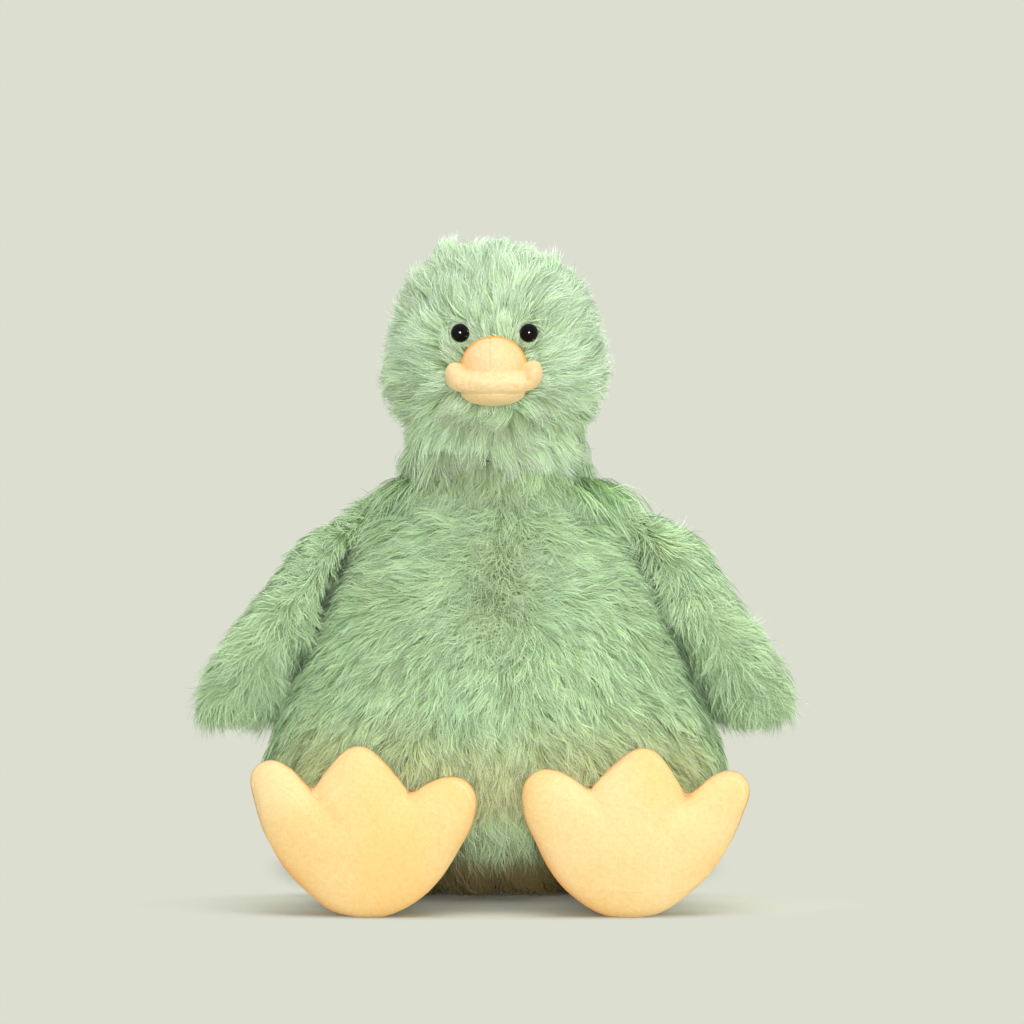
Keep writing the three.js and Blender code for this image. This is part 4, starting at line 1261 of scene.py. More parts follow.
@dataclass
class Head(Limb):
    """The round head: two face panels and a back panel."""

    depth: float = 7.0
    face: tuple[float, float, float] = (0.0, -58.0, 250.0)
    eye_spacing: float = 35.4
    eye_height: float = 270.5
    eye_sunk: float = 4.8
    eye_radius: float = 4.55
    eye_rim: float = 1.6
    eye_rise: float = 4.6
    eye_stem: float = 13.0
    eye_clear: float = 5.0
    lash_reach: float = 2.0
    ribs: int = 8
    rib_pitch: float = 1.6
    rib_radii: tuple[float, float] = (1.05, 1.5)
    segments: int = 144
    pile: Pile = Pile(2.5, 17.0, 0.42, 4, tufts=0.05, pull=0.75, stray=5.0, wave=0.12)

    EYE_AROUND = 40

    def lie(self, skin: Skin) -> dict[str, np.ndarray]:
        """Lays the pile out from the bill all round, over the eyes' rims, and lets it hang at the neck.

        Args:
            skin: A panel's backing.

        Returns:
            What the pile tree reads at its points.
        """
        p, out = skin.points, skin.out
        x, y, z = p.T
        low, rim = ease(z, 236, 216), ease(z, 224, 213)[:, None]
        ways = unit(p - self.face) + (0, 0, -1) * (ease(y, -25, 35) * 1.5 + low * 1.6)[:, None]
        ways += ripple(p, 8, 6) * 0.16
        bill = np.linalg.norm((p - self.face) * (1, 0.6, 1), axis=1)
        to_eye = np.zeros_like(p)
        for sign in (-1, 1):
            seat, looks = self.eye_seat(sign)
            across = (seat - p) - ((seat - p) @ looks)[:, None] * looks
            to_eye[x * sign > 0] = across[x * sign > 0]
        eye = np.where(y < 0, np.linalg.norm(to_eye, axis=1), 99)
        lash = np.exp(-(np.maximum(eye - self.eye_clear - 0.2, 0) / self.lash_reach)**2)
        ways = unit(ways) * (1 - 0.6 * lash)[:, None] + unit(to_eye) * (0.9 * lash)[:, None]
        out = unit(out * (1 - rim) + p * (1, 1, 0) / 40 * rim)
        root = (np.abs(x) < 14.5) & (y < 0) & (z > 240) & (z < 262)
        # painted shade below the head's hanging pile, at the throat
        throat = np.exp(-((x + 10) / 26)**2) * (y < 0) * ease(z, 221, 214)
        crown = ease(z, 288, 306) * (0.3 * np.clip(-(x + 6) / 26, -1, 1) - 0.08)
        under = (skin.out[:, 2] < -0.75) & (np.hypot(x, y) < 30)
        return {
            "out": out,
            "comb": flatten(ways, out),
            "pile": (0.5 + 0.5 * ease(bill, 14, 40)) * (1 + (0.2 + 0.4 * ripple(p, 4, 12)[:, 0]) * rim[:, 0])
            * (1 - 0.4 * lash) * (1 + crown),
            "lift": 0.5 + 0.3 * ease(bill, 15, 50) - 0.35 * ease(y, -60, 20) * (1 - low) + 0.55 * lash,
            "thick": np.where(root | under | (eye < self.eye_clear), 0.0, 1.0 + 0.3 * lash)
            * (1 - 0.22 * ease(y, 0, 30)),
            # painted light: warm light bounced from the bill just below it, and painted shade further round the bill,
            # round the eyes and at the throat
            "blush": (0.45 * ease(bill, 25, 17) * ease(z, 243, 238)
                      - 0.32 * ease(bill, 37, 26) * ease(z, 250, 240) - 0.25 * lash - 0.4 * throat),
        }

    def build(self) -> None:
        """Makes the panels."""
        whole = HEAD.skin(self.depth, self.segments, 2)
        quarters = ("head_left", "head_right", "head_back_left", "head_back_right")
        for name, keep in zip(quarters, whole.quarters()):
            skin = whole.part(keep)
            node = "head_back_panel" if "back" in name else name + "_panel"
            self.fur_panel(name, node, skin, self.lie(skin), self.pile, Pelt.HEAD, "head_fur")
        for side, sign in (("left", -1), ("right", 1)):
            self.keep(self.eye(f"eye_{side}_dome", sign), "eye", f"eye_{side}")

    def eye_seat(self, sign: int) -> tuple[np.ndarray, np.ndarray]:
        """Finds where an eye sits.

        Args:
            sign: 1 for the right eye and -1 for the left one.

        Returns:
            Where its stem goes through the cloth, and the way that it looks.
        """
        r, high, low = HEAD.radius(np.array([self.eye_height, self.eye_height + 2, self.eye_height - 2]))
        turn = sign * math.asin(self.eye_spacing / 2 / r)
        point = np.array([r * math.sin(turn), -r * math.cos(turn) * HEAD.front, self.eye_height])
        looks = unit(np.array([math.sin(turn), -math.cos(turn) / HEAD.front, (low - high) / 4]))
        return point - looks * self.eye_sunk, looks

    def eye(self, name: str, sign: int) -> bpy.types.Object:
        """Makes a domed eye on its ribbed stem.

        Args:
            name: The piece's name.
            sign: 1 for the right eye and -1 for the left one.

        Returns:
            The eye as one object at the origin.
        """
        seat, looks = self.eye_seat(sign)
        end, top, count = self.eye_stem + 0.3, self.eye_rim + self.eye_rise, self.EYE_AROUND
        dome = [(self.eye_radius * math.cos(a), self.eye_rim + self.eye_rise * math.sin(a))
                for a in np.linspace(0, math.pi / 2, 15)[:-1]]
        thin, thick = self.rib_radii
        ribs = [(r, -self.eye_stem + k * self.rib_pitch + d) for k in range(self.ribs)
                for r, d in ((thin, 0.0), (thick, self.rib_pitch / 2))]
        profile = [(0.6, -end), *ribs, (1.2, 0.0), (4.4, 0.0), (self.eye_radius, 0.3), *dome]
        turn = np.arange(count) * 2 * math.pi / count
        across = unit(np.cross(looks, (0, 0, 1)))
        up = np.cross(across, looks)
        rows = [seat + looks * h + r * (np.cos(a) * across + np.sin(a) * up) for r, h in profile for a in turn]
        points = np.vstack([*rows, seat + looks * top, seat - looks * end])
        last = (len(profile) - 1) * count
        faces = [(a, d, c, b) for a, b, c, d in ring_faces(len(profile), count)]
        faces += [(last + j, len(points) - 2, last + (j + 1) % count) for j in range(count)]
        faces += [(j, (j + 1) % count, len(points) - 1) for j in range(count)]
        made = Skin(points, faces).outward(seat).mesh(name)
        made.data.materials.append(EYE_PLASTIC.material())
        return made


def pillow_rings(loop: np.ndarray, middle: np.ndarray, rings: int, evening: int = 0) -> tuple[np.ndarray, list[Face]]:
    """Fills a closed outline with rings that draw in to a middle point.

    Args:
        loop: The outline, anticlockwise, as rows of x and y.
        middle: The point that the rings draw in to.
        rings: How many rings.
        evening: How many times each ring is evened out after the one before it.

    Returns:
        The flat points, ring by ring and the middle last, and the faces, which look up.
    """
    draw = np.cos(np.linspace(0, math.pi / 2, rings + 1)[:-1]) ** 0.8
    rows = [loop]
    for before, after in zip(draw, draw[1:]):
        row = middle + (rows[-1] - middle) * after / before
        for _ in range(evening):
            row = row / 2 + (np.roll(row, 1, 0) + np.roll(row, -1, 0)) / 4
        rows.append(row)
    count, last = len(loop), (rings - 1) * len(loop)
    closing = [(last + i, last + (i + 1) % count, rings * count) for i in range(count)]
    return np.vstack([*rows, middle[None]]), ring_faces(rings, count) + closing


def pillow_rise(rings: int, count: int) -> np.ndarray:
    """Gives the rise of a round cushion, from 0 at its outline to 1, for pillow_rings' points."""
    turn = np.repeat(np.linspace(0, math.pi / 2, rings + 1)[:-1], count)
    return np.append(np.sin(turn), 1)


def pillow_skin(flat: np.ndarray, faces: list[Face], count: int, over: np.ndarray, under: np.ndarray) -> Skin:
    """Joins two crowned faces of a stuffed form along their outline.

    Args:
        flat: The flat points that pillow_rings gives.
        faces: Its faces.
        count: How many of the points are on the outline.
        over: The points' heights above the outline's plane.
        under: Their depths below it, on the other face.

    Returns:
        The closed surface, its upper face first.
    """
    top = np.column_stack([flat, over])
    bottom = np.column_stack([flat, -under])[count:]
    below = [tuple(i if i < count else len(flat) + i - count for i in f[::-1]) for f in faces]
    return Skin(np.vstack([top, bottom]), faces + below)


def teardrop(shares: tuple[tuple[float, float], ...], half_width: float, length: float, inset: float) -> np.ndarray:
    """Draws the closed outline of a form that is the same on both sides.

    Args:
        shares: Points along one side, as shares of the half width and the length, without the two ends.
        half_width: The form's half width.
        length: Its length, from the origin along +Y.
        inset: How far inside it the outline lies.

    Returns:
        The outline, anticlockwise, as rows of x and y.
    """
    edge = np.array([(0, 0), *shares, (0, 1)])
    half = spline(edge * (half_width - inset, length - 2 * inset) + (0, inset), 8)
    return np.vstack([half[:-1], half[::-1][:-1] * (-1, 1)])


@dataclass
class Wing(Limb):
    """A wing: a thick teardrop that hangs from the shoulder along the body's side."""

    sign: int = 1
    length: float = 138.0
    half_depth: float = 38.0
    crowns: tuple[float, float] = (24.0, 19.0)
    root_radius: float = 8.0
    shoulder: float = 180.5
    tuck: tuple[float, float, float] = (10.0, 0.0, 4.0)
    rings: int = 14
    pivot: tuple[float, float] = (67.43, 185.54)
    widest: tuple[float, float] = (117.0, 56.4)
    standoff: float = math.radians(9)
    depth: float = 7.0
    pile: Pile = Pile(2.0, 16.5, 0.46, 4, tufts=0.07, pull=0.75, stray=7.0, wave=0.14, swirl=0.6)

    EDGE = ((0.5, 0.03), (0.74, 0.2), (0.96, 0.5), (0.98, 0.78), (0.66, 0.955))

    def place(self, points: np.ndarray) -> np.ndarray:
        """Hangs the wing on the body.

        Args:
            points: Points in the wing's own frame, its length along +Y and its outer face along -Z.

        Returns:
            The same points in the duck's frame.
        """
        shoulder_x = BODY.radius(np.array([self.shoulder]))[0]
        hang = math.atan((self.widest[0] - shoulder_x) / (self.shoulder - self.widest[1])) + self.standoff
        along = np.array([math.sin(hang), 0, -math.cos(hang)])
        outer = np.array([math.cos(hang), 0, math.sin(hang)])
        start = np.array([self.pivot[0], 0, self.pivot[1]])
        x, y, z = points.T
        return start + x[:, None] * np.array([0, 1, 0]) + y[:, None] * along - z[:, None] * outer

    def skin(self) -> Skin:
        """Makes the wing's surface under its pile, pressed by the body's side and tucked in at the shoulder.

        Returns:
            The closed surface, its inner face first.
        """
        loop = teardrop(self.EDGE, self.half_depth, self.length, self.depth) - (0, self.root_radius)
        middle = np.array([0, self.length * 0.66 - self.root_radius])
        rise = pillow_rise(self.rings, len(loop))
        inner, outer = (c - self.depth for c in self.crowns)
        made = pillow_skin(*pillow_rings(loop, middle, self.rings), len(loop), inner * rise, outer * rise)
        points = self.place(made.points)
        radial = np.hypot(points[:, 0], points[:, 1] / BODY.depth_share(points[:, 1], points[:, 2]))
        push = np.maximum(BODY.radius(points[:, 2]) + self.depth - radial, 0)
        points[:, 0] += push * np.where(push > 0, np.minimum(radial / np.maximum(points[:, 0], 20), 1.6), 0)
        points -= np.array(self.tuck) * ease(points[:, 2], 162, 188)[:, None]
        points[:, 0] *= self.sign
        return Skin(points, facing(made.faces, self.sign > 0))

    def lie(self, skin: Skin, outer: bool) -> dict[str, np.ndarray]:
        """Lays the pile away from the front seam and down towards the tip.

        Args:
            skin: A panel's backing.
            outer: Whether it is the outer panel.

        Returns:
            What the pile tree reads at its points.
        """
        p, out = skin.points, skin.out
        root, tip = ease(p[:, 2], 162, 182), ease(p[:, 2], 135, 85)
        ways = np.stack([self.sign * (0.62 - 0.15 * tip), np.full_like(tip, 0.2), -0.78 - 0.5 * tip], 1)
        ridge = np.exp(-(out[:, 0] / 0.5)**2)
        ways[:, 0] += self.sign * 0.45 * np.clip(out[:, 0] * self.sign * 2.5, -1, 1) * (1 - root)
        ways += ripple(p, 9, 7 + self.sign) * 0.25
        upper = ease(p[:, 2], 128, 146) * ease(p[:, 2], 182, 172) * (0.38 if self.sign < 0 else 0.0)
        return {
            "comb": flatten(ways, out),
            "pile": 1 - 0.35 * root + 0.5 * tip - 0.8 * ease(p[:, 2], 100, 78) - upper,
            "lift": 0.6 + 0.15 * root + 0.2 * ridge, "wild": 0.5 * ridge,
            "thick": (1 - 0.5 * root + 0.5 * ridge) * (1.0 if outer else 0.78), "blush": np.zeros(len(p)),
        }

    def build(self) -> None:
        """Makes the two panels."""
        whole = self.skin()
        self.stuff(f"{self.carrier}_fill", f"{self.carrier}_stuffing", Skin(whole.points - whole.out * 3, whole.faces))
        for face, keep in zip(("inner", "outer"), whole.halves()):
            name = f"{self.carrier}_{face}"
            skin = whole.part(keep)
            self.fur_panel(name, name + "_panel", skin, self.lie(skin, face == "outer"), self.pile, Pelt.WING,
                           "wing_fur")


@dataclass
class Foot(Limb):
    """A velour foot with three round toes, standing on its heel with the sole to the front."""

    sign: int = 1
    lean: float = math.radians(7)
    half_width: float = 51.6
    height: float = 79.0
    crowns: tuple[float, float] = (15.0, 16.0)
    heel: tuple[float, float, float] = (57.5, -134.93, -0.5)
    recline: float = math.radians(7)
    steps: int = 4
    rings: int = 22
    evening: int = 3
    cell: float = 0.8
    swelling: int = 4000
    instep: tuple[float, float] = (0.0, 22.0)
    ankle: tuple[float, float, float] = (56.85, -104.49, 35.73)
    leg_radius: float = 10.0
    leg_pile: Pile = Pile(2.4, 11.0, 0.4)
    stitch: tuple[float, float, float] = (1.8, 1.4, 0.4)

    TOES = (
        ((0.05, 0), (0.33, 0.045), (0.52, 0.145), (0.67, 0.24), (0.78, 0.335), (0.86, 0.43), (0.92, 0.525),
         (0.965, 0.62), (1, 0.715), (1.03, 0.8), (1.01, 0.87), (0.93, 0.918), (0.82, 0.925), (0.71, 0.89),
         (0.6, 0.825), (0.49, 0.74)),
        ((0.49, 0.74), (0.4, 0.815), (0.32, 0.88), (0.243, 0.938), (0.16, 0.98), (0.07, 0.997), (-0.03, 0.98),
         (-0.12, 0.93), (-0.2, 0.872), (-0.27, 0.818), (-0.335, 0.765), (-0.395, 0.712)),
        ((-0.395, 0.712), (-0.53, 0.762), (-0.67, 0.797), (-0.8, 0.803), (-0.9, 0.775), (-0.965, 0.715),
         (-0.98, 0.65), (-0.96, 0.575), (-0.915, 0.49), (-0.83, 0.395), (-0.745, 0.305), (-0.645, 0.215),
         (-0.5, 0.125), (-0.3, 0.045), (-0.12, 0.005), (0.05, 0)),
    )
    NOTCHES = ((25, 58), (-20, 56))
    # where painted shade darkens the velour in the notches between the toes
    NOTCH_PAINTED_SHADE = ((25, 57), (-20, 55))
    AROUND_LEG = 32

    def outline(self) -> np.ndarray:
        """Gives the seam's outline in the foot's own plane, with a corner between two toes."""
        loop = np.vstack([spline(np.array(toe), self.steps)[:-1] for toe in self.TOES])
        return loop * (self.half_width, self.height)

    def inflate(self, loop: np.ndarray, flat: np.ndarray) -> np.ndarray:
        """Works out how a stuffed form swells inside its outline, as a soap film under pressure does.

        Args:
            loop: The outline.
            flat: Points inside it or on it.

        Returns:
            The rise at those points, 1 at the highest.
        """
        loop, flat = loop / self.cell, flat / self.cell
        low = loop.min(0) - 2
        size = np.ceil(loop.max(0) + 2 - low).astype(int)
        gx, gy = np.meshgrid(low[0] + np.arange(size[0]), low[1] + np.arange(size[1]), indexing="ij")
        inside = np.zeros(gx.shape, bool)
        for (x0, y0), (x1, y1) in zip(loop, np.roll(loop, -1, 0)):
            crosses = (y0 > gy) != (y1 > gy)
            inside ^= crosses & (gx < (x1 - x0) * (gy - y0) / (y1 - y0 + 1e-12) + x0)
        film = np.zeros(gx.shape)
        for _ in range(self.swelling):
            mean = (np.roll(film, 1, 0) + np.roll(film, -1, 0) + np.roll(film, 1, 1) + np.roll(film, -1, 1)) / 4
            film = np.where(inside, mean + 0.25, 0)
        at = np.clip(flat - low, 0, size - 1.001)
        i, f = at.astype(int), at - at.astype(int)
        rise = sum(film[i[:, 0] + a, i[:, 1] + b] * abs(1 - a - f[:, 0]) * abs(1 - b - f[:, 1])
                   for a in (0, 1) for b in (0, 1))
        rise[:len(loop)] = 0
        return np.sqrt(rise / film.max())

    def place(self, points: np.ndarray) -> np.ndarray:
        """Stands the foot on its heel.

        Args:
            points: Points in the foot's own frame, toes along +Y and sole along +Z.

        Returns:
            The same points in the duck's frame.
        """
        turn = (Matrix.Translation(self.heel) @ Matrix.Rotation(math.pi / 2 - self.recline, 4, "X")
                @ Matrix.Rotation(-self.lean, 4, "Z"))
        moved = points @ np.array(turn.to_3x3()).T + np.array(turn.translation)
        return moved * (self.sign, 1, 1)

    def off_notches(self, points: np.ndarray) -> np.ndarray:
        """Gives 0 in the notches between the toes and 1 away from them, in the foot's own frame."""
        near = [np.exp(-(np.linalg.norm(points[:, :2] - notch, axis=1) / 7)**2) for notch in self.NOTCHES]
        return (1 - near[0]) * (1 - near[1])

    def shape(self, made: Skin, near: np.ndarray, groove: np.ndarray, clear: np.ndarray, rim: int) -> None:
        """Gives a smooth foot its lumps, the groove by its seam, the folds at its notches and a full back.

        Args:
            made: The foot in its own frame, whose points are moved.
            near: How far in from the seam each point is, from 0 to 1.
            groove: How deep the seam's groove is there.
            clear: 0 in the notches and 1 away from them.
            rim: How many of the points are on the seam.
        """
        points, out = made.points, made.out
        lump = ripple(points, 9, 21 + self.sign) * 0.35 + ripple(points * (1, 0.5, 1), 2.2, 31) * 0.12
        points[rim:] += (out * (lump[:, :1] * ease(near, 0.0, 0.3)[:, None] - 0.5 * groove[:, None]))[rim:]
        for notch in self.NOTCHES:
            down = np.array(self.instep) - notch
            far = np.clip(((points[:, :2] - notch) @ down) / (down @ down), 0, 0.6)
            gap = np.linalg.norm(points[:, :2] - notch - far[:, None] * down, axis=1)
            points -= out * (2.0 * np.exp(-(gap / 5)**2) * (1 - far / 0.6) * ease(near, 0.1, 0.4))[:, None]
        behind = np.arange(len(near)) >= (len(near) + rim) // 2
        swell = np.sin(math.pi * np.clip(near / 0.62, 0, 1)) * behind * ease(points[:, 1], 25, 50) * clear
        points += out * (1, 1, 0) * (1.5 * swell)[:, None]

    def velour_painted_shading(self, points: np.ndarray, near: np.ndarray, groove: np.ndarray, ridge: np.ndarray) -> np.ndarray:
        """Tells where shade and a highlight are painted on the velour: painted shade by the seam, towards the heel on
        one side, in the notches and in the groove, and a painted highlight along the groove's edge.

        Args:
            points: The foot's points in its own frame.
            near: How far in from the seam each point is, from 0 to 1.
            groove: How deep the seam's groove is there.
            ridge: How much painted highlight lies along the groove's edge there.

        Returns:
            How far the colour leans to the seam's, or below 0 to the pale one.
        """
        x, y = points[:, 0], points[:, 1]
        rim = 1 - ease(near, 0, 0.3)
        low = ease(y, 50, 20) * (1 - ease(near, 0.1, 0.75)) * ease(x * self.sign, 12, -30)
        notch = sum(np.exp(-(((x - at) / 5)**2 + ((y - up) / 7)**2)) for at, up in self.NOTCH_PAINTED_SHADE)
        # the rim, the low side, the notches and the groove get painted shade, and the ridge a painted highlight
        return (0.32 * rim + 0.55 * low + 0.4 * notch * (1 - ease(near, 0.1, 0.5)) + 0.1 * groove) - 1.2 * ridge

    def build(self) -> None:
        """Makes the two panels, their stuffing, the stitches and the leg."""
        loop = self.outline()
        middle = np.array([0, self.height * 0.46])
        flat, faces = pillow_rings(loop, middle, self.rings, self.evening)
        rise = self.inflate(loop, flat)
        made = pillow_skin(flat, faces, len(loop), self.crowns[0] * rise, self.crowns[1] * rise)
        near = np.append(rise, rise[len(loop):])
        clear = self.off_notches(made.points)
        groove = np.exp(-((near - 0.2) / 0.06)**2) * ease(made.points[:, 1], 40, 55) * clear
        # a painted highlight along the groove's edge, on one side of each toe
        ridge = np.exp(-((near - 0.24) / 0.035)**2) * ease(made.points[:, 1], 44, 58) * clear
        ridge *= np.clip(made.out[:, 0] * self.sign * 3, 0, 1)
        self.shape(made, near, groove, clear, len(loop))
        points = self.place(made.points)
        points[:, 2] = np.maximum(points[:, 2], 0)
        whole = Skin(points, facing(made.faces, self.sign > 0))
        inner = self.place(made.points * (0.8, 0.72, 0.7) + (0, 0.06 * self.height, 0))
        self.stuff(f"{self.carrier}_fill", f"{self.carrier}_stuffing", Skin(inner, whole.faces))
        # painted shade and highlight on the velour, carried by its edge attribute
        tone = self.velour_painted_shading(made.points, near, groove, ridge)
        # the top panel gets more painted shade near its seam
        for face, deeper, keep in zip(("sole", "top"), (0.0, 0.25), whole.halves()):
            name = f"{self.carrier}_{face}"
            used = sorted({i for f, k in zip(whole.faces, keep) if k for i in f})
            edge = np.clip(tone + deeper * (1 - ease(near, 0, 0.5)), -1, 1)[used]
            panel = whole.part(keep).mesh(name, {"edge": edge})
            panel.data.materials.append(FOOT_VELOUR.material())
            self.keep(panel, "foot_velour", name + "_panel", fill=0.9)
        toes = (loop[:, 1] > 0.48 * self.height) & (clear[:len(loop)] > 0.3)
        line = self.place(np.column_stack([loop * 0.985, np.full(len(loop), -1.6)]))[toes]
        seam = self.stitch_tree.sew(f"{self.carrier}_stitches", line, *self.stitch, FOOT_THREAD)
        self.keep(seam, "foot_velour")
        self.leg()

    def leg(self) -> None:
        """Makes the fur stub between the belly and the foot."""
        name = "leg_left" if self.sign < 0 else "leg_right"
        turn = np.arange(self.AROUND_LEG) * 2 * math.pi / self.AROUND_LEG
        size = self.leg_radius
        rows = [(math.sin(a) * size, size - math.cos(a) * size) for a in np.linspace(0.15, math.pi / 2, 6)]
        rows += [(9.0, 18.0), (9.0, 24.0)]
        pivot = np.array(self.ankle) * (self.sign, 1, 1)
        points = np.array([pivot + (r * math.cos(a), size - d, r * math.sin(a)) for r, d in rows for a in turn])
        skin = Skin(points, ring_faces(len(rows), self.AROUND_LEG)).outward(pivot)
        values = even_lie(flatten(np.tile([0, -1, -0.4], (len(points), 1)), skin.out), 0.5)
        self.fur_panel(name, name, skin, values, self.leg_pile, Pelt.BODY, "body_fur")


@dataclass
class Tail(Limb):
    """The short upturned tail."""

    height: float = 62.0
    length: float = 52.0
    root: float = 16.0
    half_width: float = 27.0
    crown: float = 13.0
    rise: float = math.radians(38)
    depth: float = 6.0
    rings: int = 10
    pile: Pile = Pile(1.5, 13.0, 0.6, 3, tufts=0.07)

    EDGE = ((0.8, 0.05), (1, 0.38), (0.72, 0.75), (0.24, 0.98))

    def build(self) -> None:
        """Makes the two panels."""
        loop = teardrop(self.EDGE, self.half_width, self.length, self.depth)
        rise = pillow_rise(self.rings, len(loop)) * (self.crown - self.depth)
        middle = np.array([0, self.length * 0.42])
        made = pillow_skin(*pillow_rings(loop, middle, self.rings), len(loop), rise, rise)
        start = np.array([0, BODY.radius(np.array([self.height]))[0] * BODY.back, self.height])
        along = np.array([0, math.cos(self.rise), math.sin(self.rise)])
        upper = np.array([0, -math.sin(self.rise), math.cos(self.rise)])
        x, y, z = made.points.T
        points = start + x[:, None] * (1, 0, 0) + (y - self.root)[:, None] * along + z[:, None] * upper
        whole = Skin(points, made.faces)
        for face, keep in zip(("upper", "lower"), whole.halves()):
            skin = whole.part(keep)
            ways = np.tile(along, (len(skin.points), 1)) + (skin.points - start) * (0.012, 0, 0)
            self.fur_panel(f"tail_{face}", f"tail_{face}_panel", skin, even_lie(flatten(ways, skin.out), 0.55),
                           self.pile, Pelt.BODY, "body_fur")


@dataclass(frozen=True)
class Lump:
    """One rounded form of the bill: a box with soft corners, tipped forward."""

    middle: tuple[float, float, float]
    radii: tuple[float, float, float]
    square: float = 2.2
    tip: float = 0.0
    roll: float = 0.0

    def smaller(self, inset: float) -> Lump:
        """Gives the form that lies inside this one."""
        return replace(self, radii=tuple(r - inset for r in self.radii))

    def turn(self) -> np.ndarray:
        """Gives the turn from the form's own axes to the duck's."""
        return np.array(Matrix.Rotation(math.radians(self.tip), 3, "X")
                        @ Matrix.Rotation(math.radians(self.roll), 3, "Y"))

    def shell(self, around: int = 48, up: int = 24) -> tuple[np.ndarray, list[Face]]:
        """Makes the form's closed surface.

        Args:
            around: Points in each ring.
            up: Steps from the lower pole to the upper one.

        Returns:
            Its points and faces.
        """
        def bend(share: np.ndarray) -> np.ndarray:
            """Squares a round share."""
            return np.sign(share) * np.abs(share) ** (2 / self.square)
        turn = np.arange(around) * 2 * math.pi / around
        rise = np.linspace(-math.pi / 2, math.pi / 2, up + 1)[1:-1, None]
        rows = np.stack([bend(np.cos(rise)) * bend(np.cos(turn)), bend(np.cos(rise)) * bend(np.sin(turn)),
                         bend(np.sin(rise)) + 0 * turn], 2).reshape(-1, 3)
        points = np.vstack([rows, (0, 0, -1), (0, 0, 1)]) * self.radii
        faces, last = [], len(rows)
        for j in range(around):
            n = (j + 1) % around
            faces += [(k + j, k + n, k + around + n, k + around + j) for k in range(0, last - around, around)]
            faces += [(last, n, j), (last + 1, last - around + j, last - around + n)]
        return points @ self.turn().T + self.middle, faces

    def gauge(self, points: np.ndarray) -> np.ndarray:
        """Tells about how far points are from the form's surface, less than 0 inside."""
        local = np.abs((points - self.middle) @ self.turn()) / self.radii
        return ((local ** self.square).sum(1) ** (1 / self.square) - 1) * min(self.radii)


